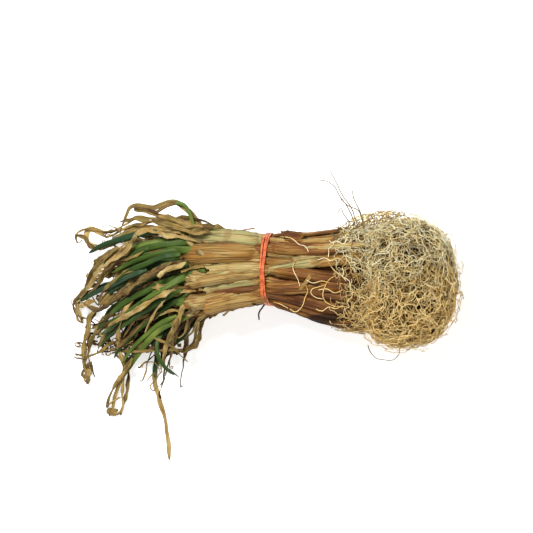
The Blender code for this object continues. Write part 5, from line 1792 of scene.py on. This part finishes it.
def looseStemStrip(strips, tops, plan, rng):
    radii, tone, pixels = plan
    sunk = len(pixels) > 6  # the long one comes out from among the others
    lifts = radii[0] * mm * np.linspace(-1.2 if sunk else 1.5, 1.4, len(pixels))
    path = smoothPath([overBundle(pixel, lift, tops) for pixel, lift in zip(pixels, lifts)], 1.2 * mm)
    along = lengthsAlong(path)
    angles = np.linspace(0, math.tau, 16, endpoint=False)
    ends = clip01(np.minimum(along, along[-1] - along) / (1.6 * mm))
    radius = np.interp(along, (0, along[-1]), radii) * mm * (0.5 + 0.5 * np.sqrt(ends))
    radius = radius * (1 + 0.06 * waves(along, rng, 14 * mm))
    size = radius[:, None] * (1 + 0.06 * np.cos(3 * angles) + 0.04 * np.cos(5 * angles + 1))
    tones = (tone + 0.1 * waves(along, rng, 20 * mm))[:, None] + 0 * size
    tint = np.stack((tones, 0.4 + 0 * tones, 0 * tones), axis=-1)
    strips.add(path, along, roundSection(size, angles), tint, skinFinish, rng)


# Making it all

layout, stems = planBunch(random.Random(bunchPlan["seed"]))
settle(layout)
shift = frameShift(layout, stems)
setStage(shift)
print("layout: settled")

skin, blade = sheathSkin(), leafBlade()
fibre, shade, rubber, hair = rootFibre(), rootHeart(), rubberStrand(), hairFibre()
rng = random.Random(29)
onions = []
for stem in stems:
    number = stem["owner"] + 1
    strips = Strips()
    path = stemStrip(strips, layout, stem, rng)
    own = rng.uniform(-0.08, 0.14) if isOuter(stem) else 0
    for share, start, end, wrap, darker in skinLook["layers"] if isOuter(stem) else ():
        if share == 1 or rng.random() < share:
            ends = (rng.uniform(*start) * mm, rng.uniform(*end) * mm)
            skinStrip(strips, path, stem["radius"], facingOut(stem) + rng.gauss(0, 0.5), rng.uniform(*wrap),
                      ends, own + rng.uniform(*darker), rng)
    leaves = [c for c in layout.chains if c["kind"] != stemKind and c["owner"] == stem["owner"]]
    for leaf in leaves:
        grow = greenStrip if leaf["kind"] == greenKind else dryStrip
        bladePath = grow(strips, layout, leaf, stem, rng)
        for _ in range(rng.choice(leafLook["companions"]) if leaf["route"] is None else 0):
            companionStrip(strips, bladePath, rng)
        for _ in range(rng.randrange(leafLook["shreds"])):
            shredStrip(strips, bladePath, rng)
    for _ in range(leafLook["flaps"] if isOuter(stem) else 0):
        flapStrip(strips, path, stem["radius"], rng)
    piece = strips.piece(f"onion_{number:02d}", [skin, blade], shift)
    onions.append(piece)
    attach(piece, "root")
    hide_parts(f"seedling_{number:02d}")
print("seedlings: made")

for piece in makeRoots(shift, fibre, shade):
    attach(piece, "root")
    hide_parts("root_tangle")
print("roots: made")

thread = threadTree()
threadValues = {"Step": 1.0 * mm, "Tremble": 0.0, "Tremble size": 10 * mm, "Radius": bandLook["radius"],
                "End share": 1.0, "Sides": 10, "Material": rubber}
route = np.array(bandRoute(layout, stems)) + np.array(shift)
band = threadPiece("band_strand", [route], thread, threadValues, cyclic=True)
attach(band, "root")
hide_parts("rubber_band")
print("band: made")

strips, tops = Strips(), stemSamples(layout, stems)
for grow, under, plans in ((looseLeafStrip, leafSamples(layout), looseLeaves),
                           (looseSheathStrip, tops, looseSheaths), (looseStemStrip, tops, looseStems)):
    for plan in plans:
        grow(strips, under, plan, rng)
for grow, plan in ((underLeafStrip, underPlan), (curlStrip, curlPlan)):
    draw = random.Random(plan["seed"])
    for _ in range(plan["count"]):
        grow(strips, draw)
loose = strips.piece("loose_leaves", [skin, blade], shift)
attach(loose, "root")
print("loose leaves: made")

graph = bpy.context.evaluated_depsgraph_get()
surfaces = [(BVHTree.FromObject(piece, graph), strayPlan["lift"]) for piece in (*onions, loose)]
surfaces.append((BVHTree.FromObject(bpy.data.objects["root_heart"], graph), strayPlan["ballLift"]))
draw = random.Random(tuftPlan["seed"])
tufts = [tuftRoute(draw) for _ in range(2 * tuftPlan["count"])]
threadValues.update({"Tremble": strayPlan["tremble"], "End share": 0.7, "Sides": 5})
for name, pixelRoutes, radius, finish in (
        ("stray_roots", strayRoots, strayPlan["rootRadius"], fibre),
        ("edge_roots", [*edgeRoots, *tufts[::2]], strayPlan["edgeRadius"], hair),
        ("tuft_roots", tufts[1::2], strayPlan["rootRadius"], fibre),
        ("fine_hairs", fineHairs, strayPlan["hairRadius"], hair),
        ("dark_hairs", darkHairs, strayPlan["darkRadius"], shade)):
    routes = [strayRoute(pixels, surfaces, shift) for pixels in pixelRoutes]
    strays = threadPiece(name, routes, thread, {**threadValues, "Radius": radius, "Material": finish})
    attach(strays, "root")
print("stray roots: made")
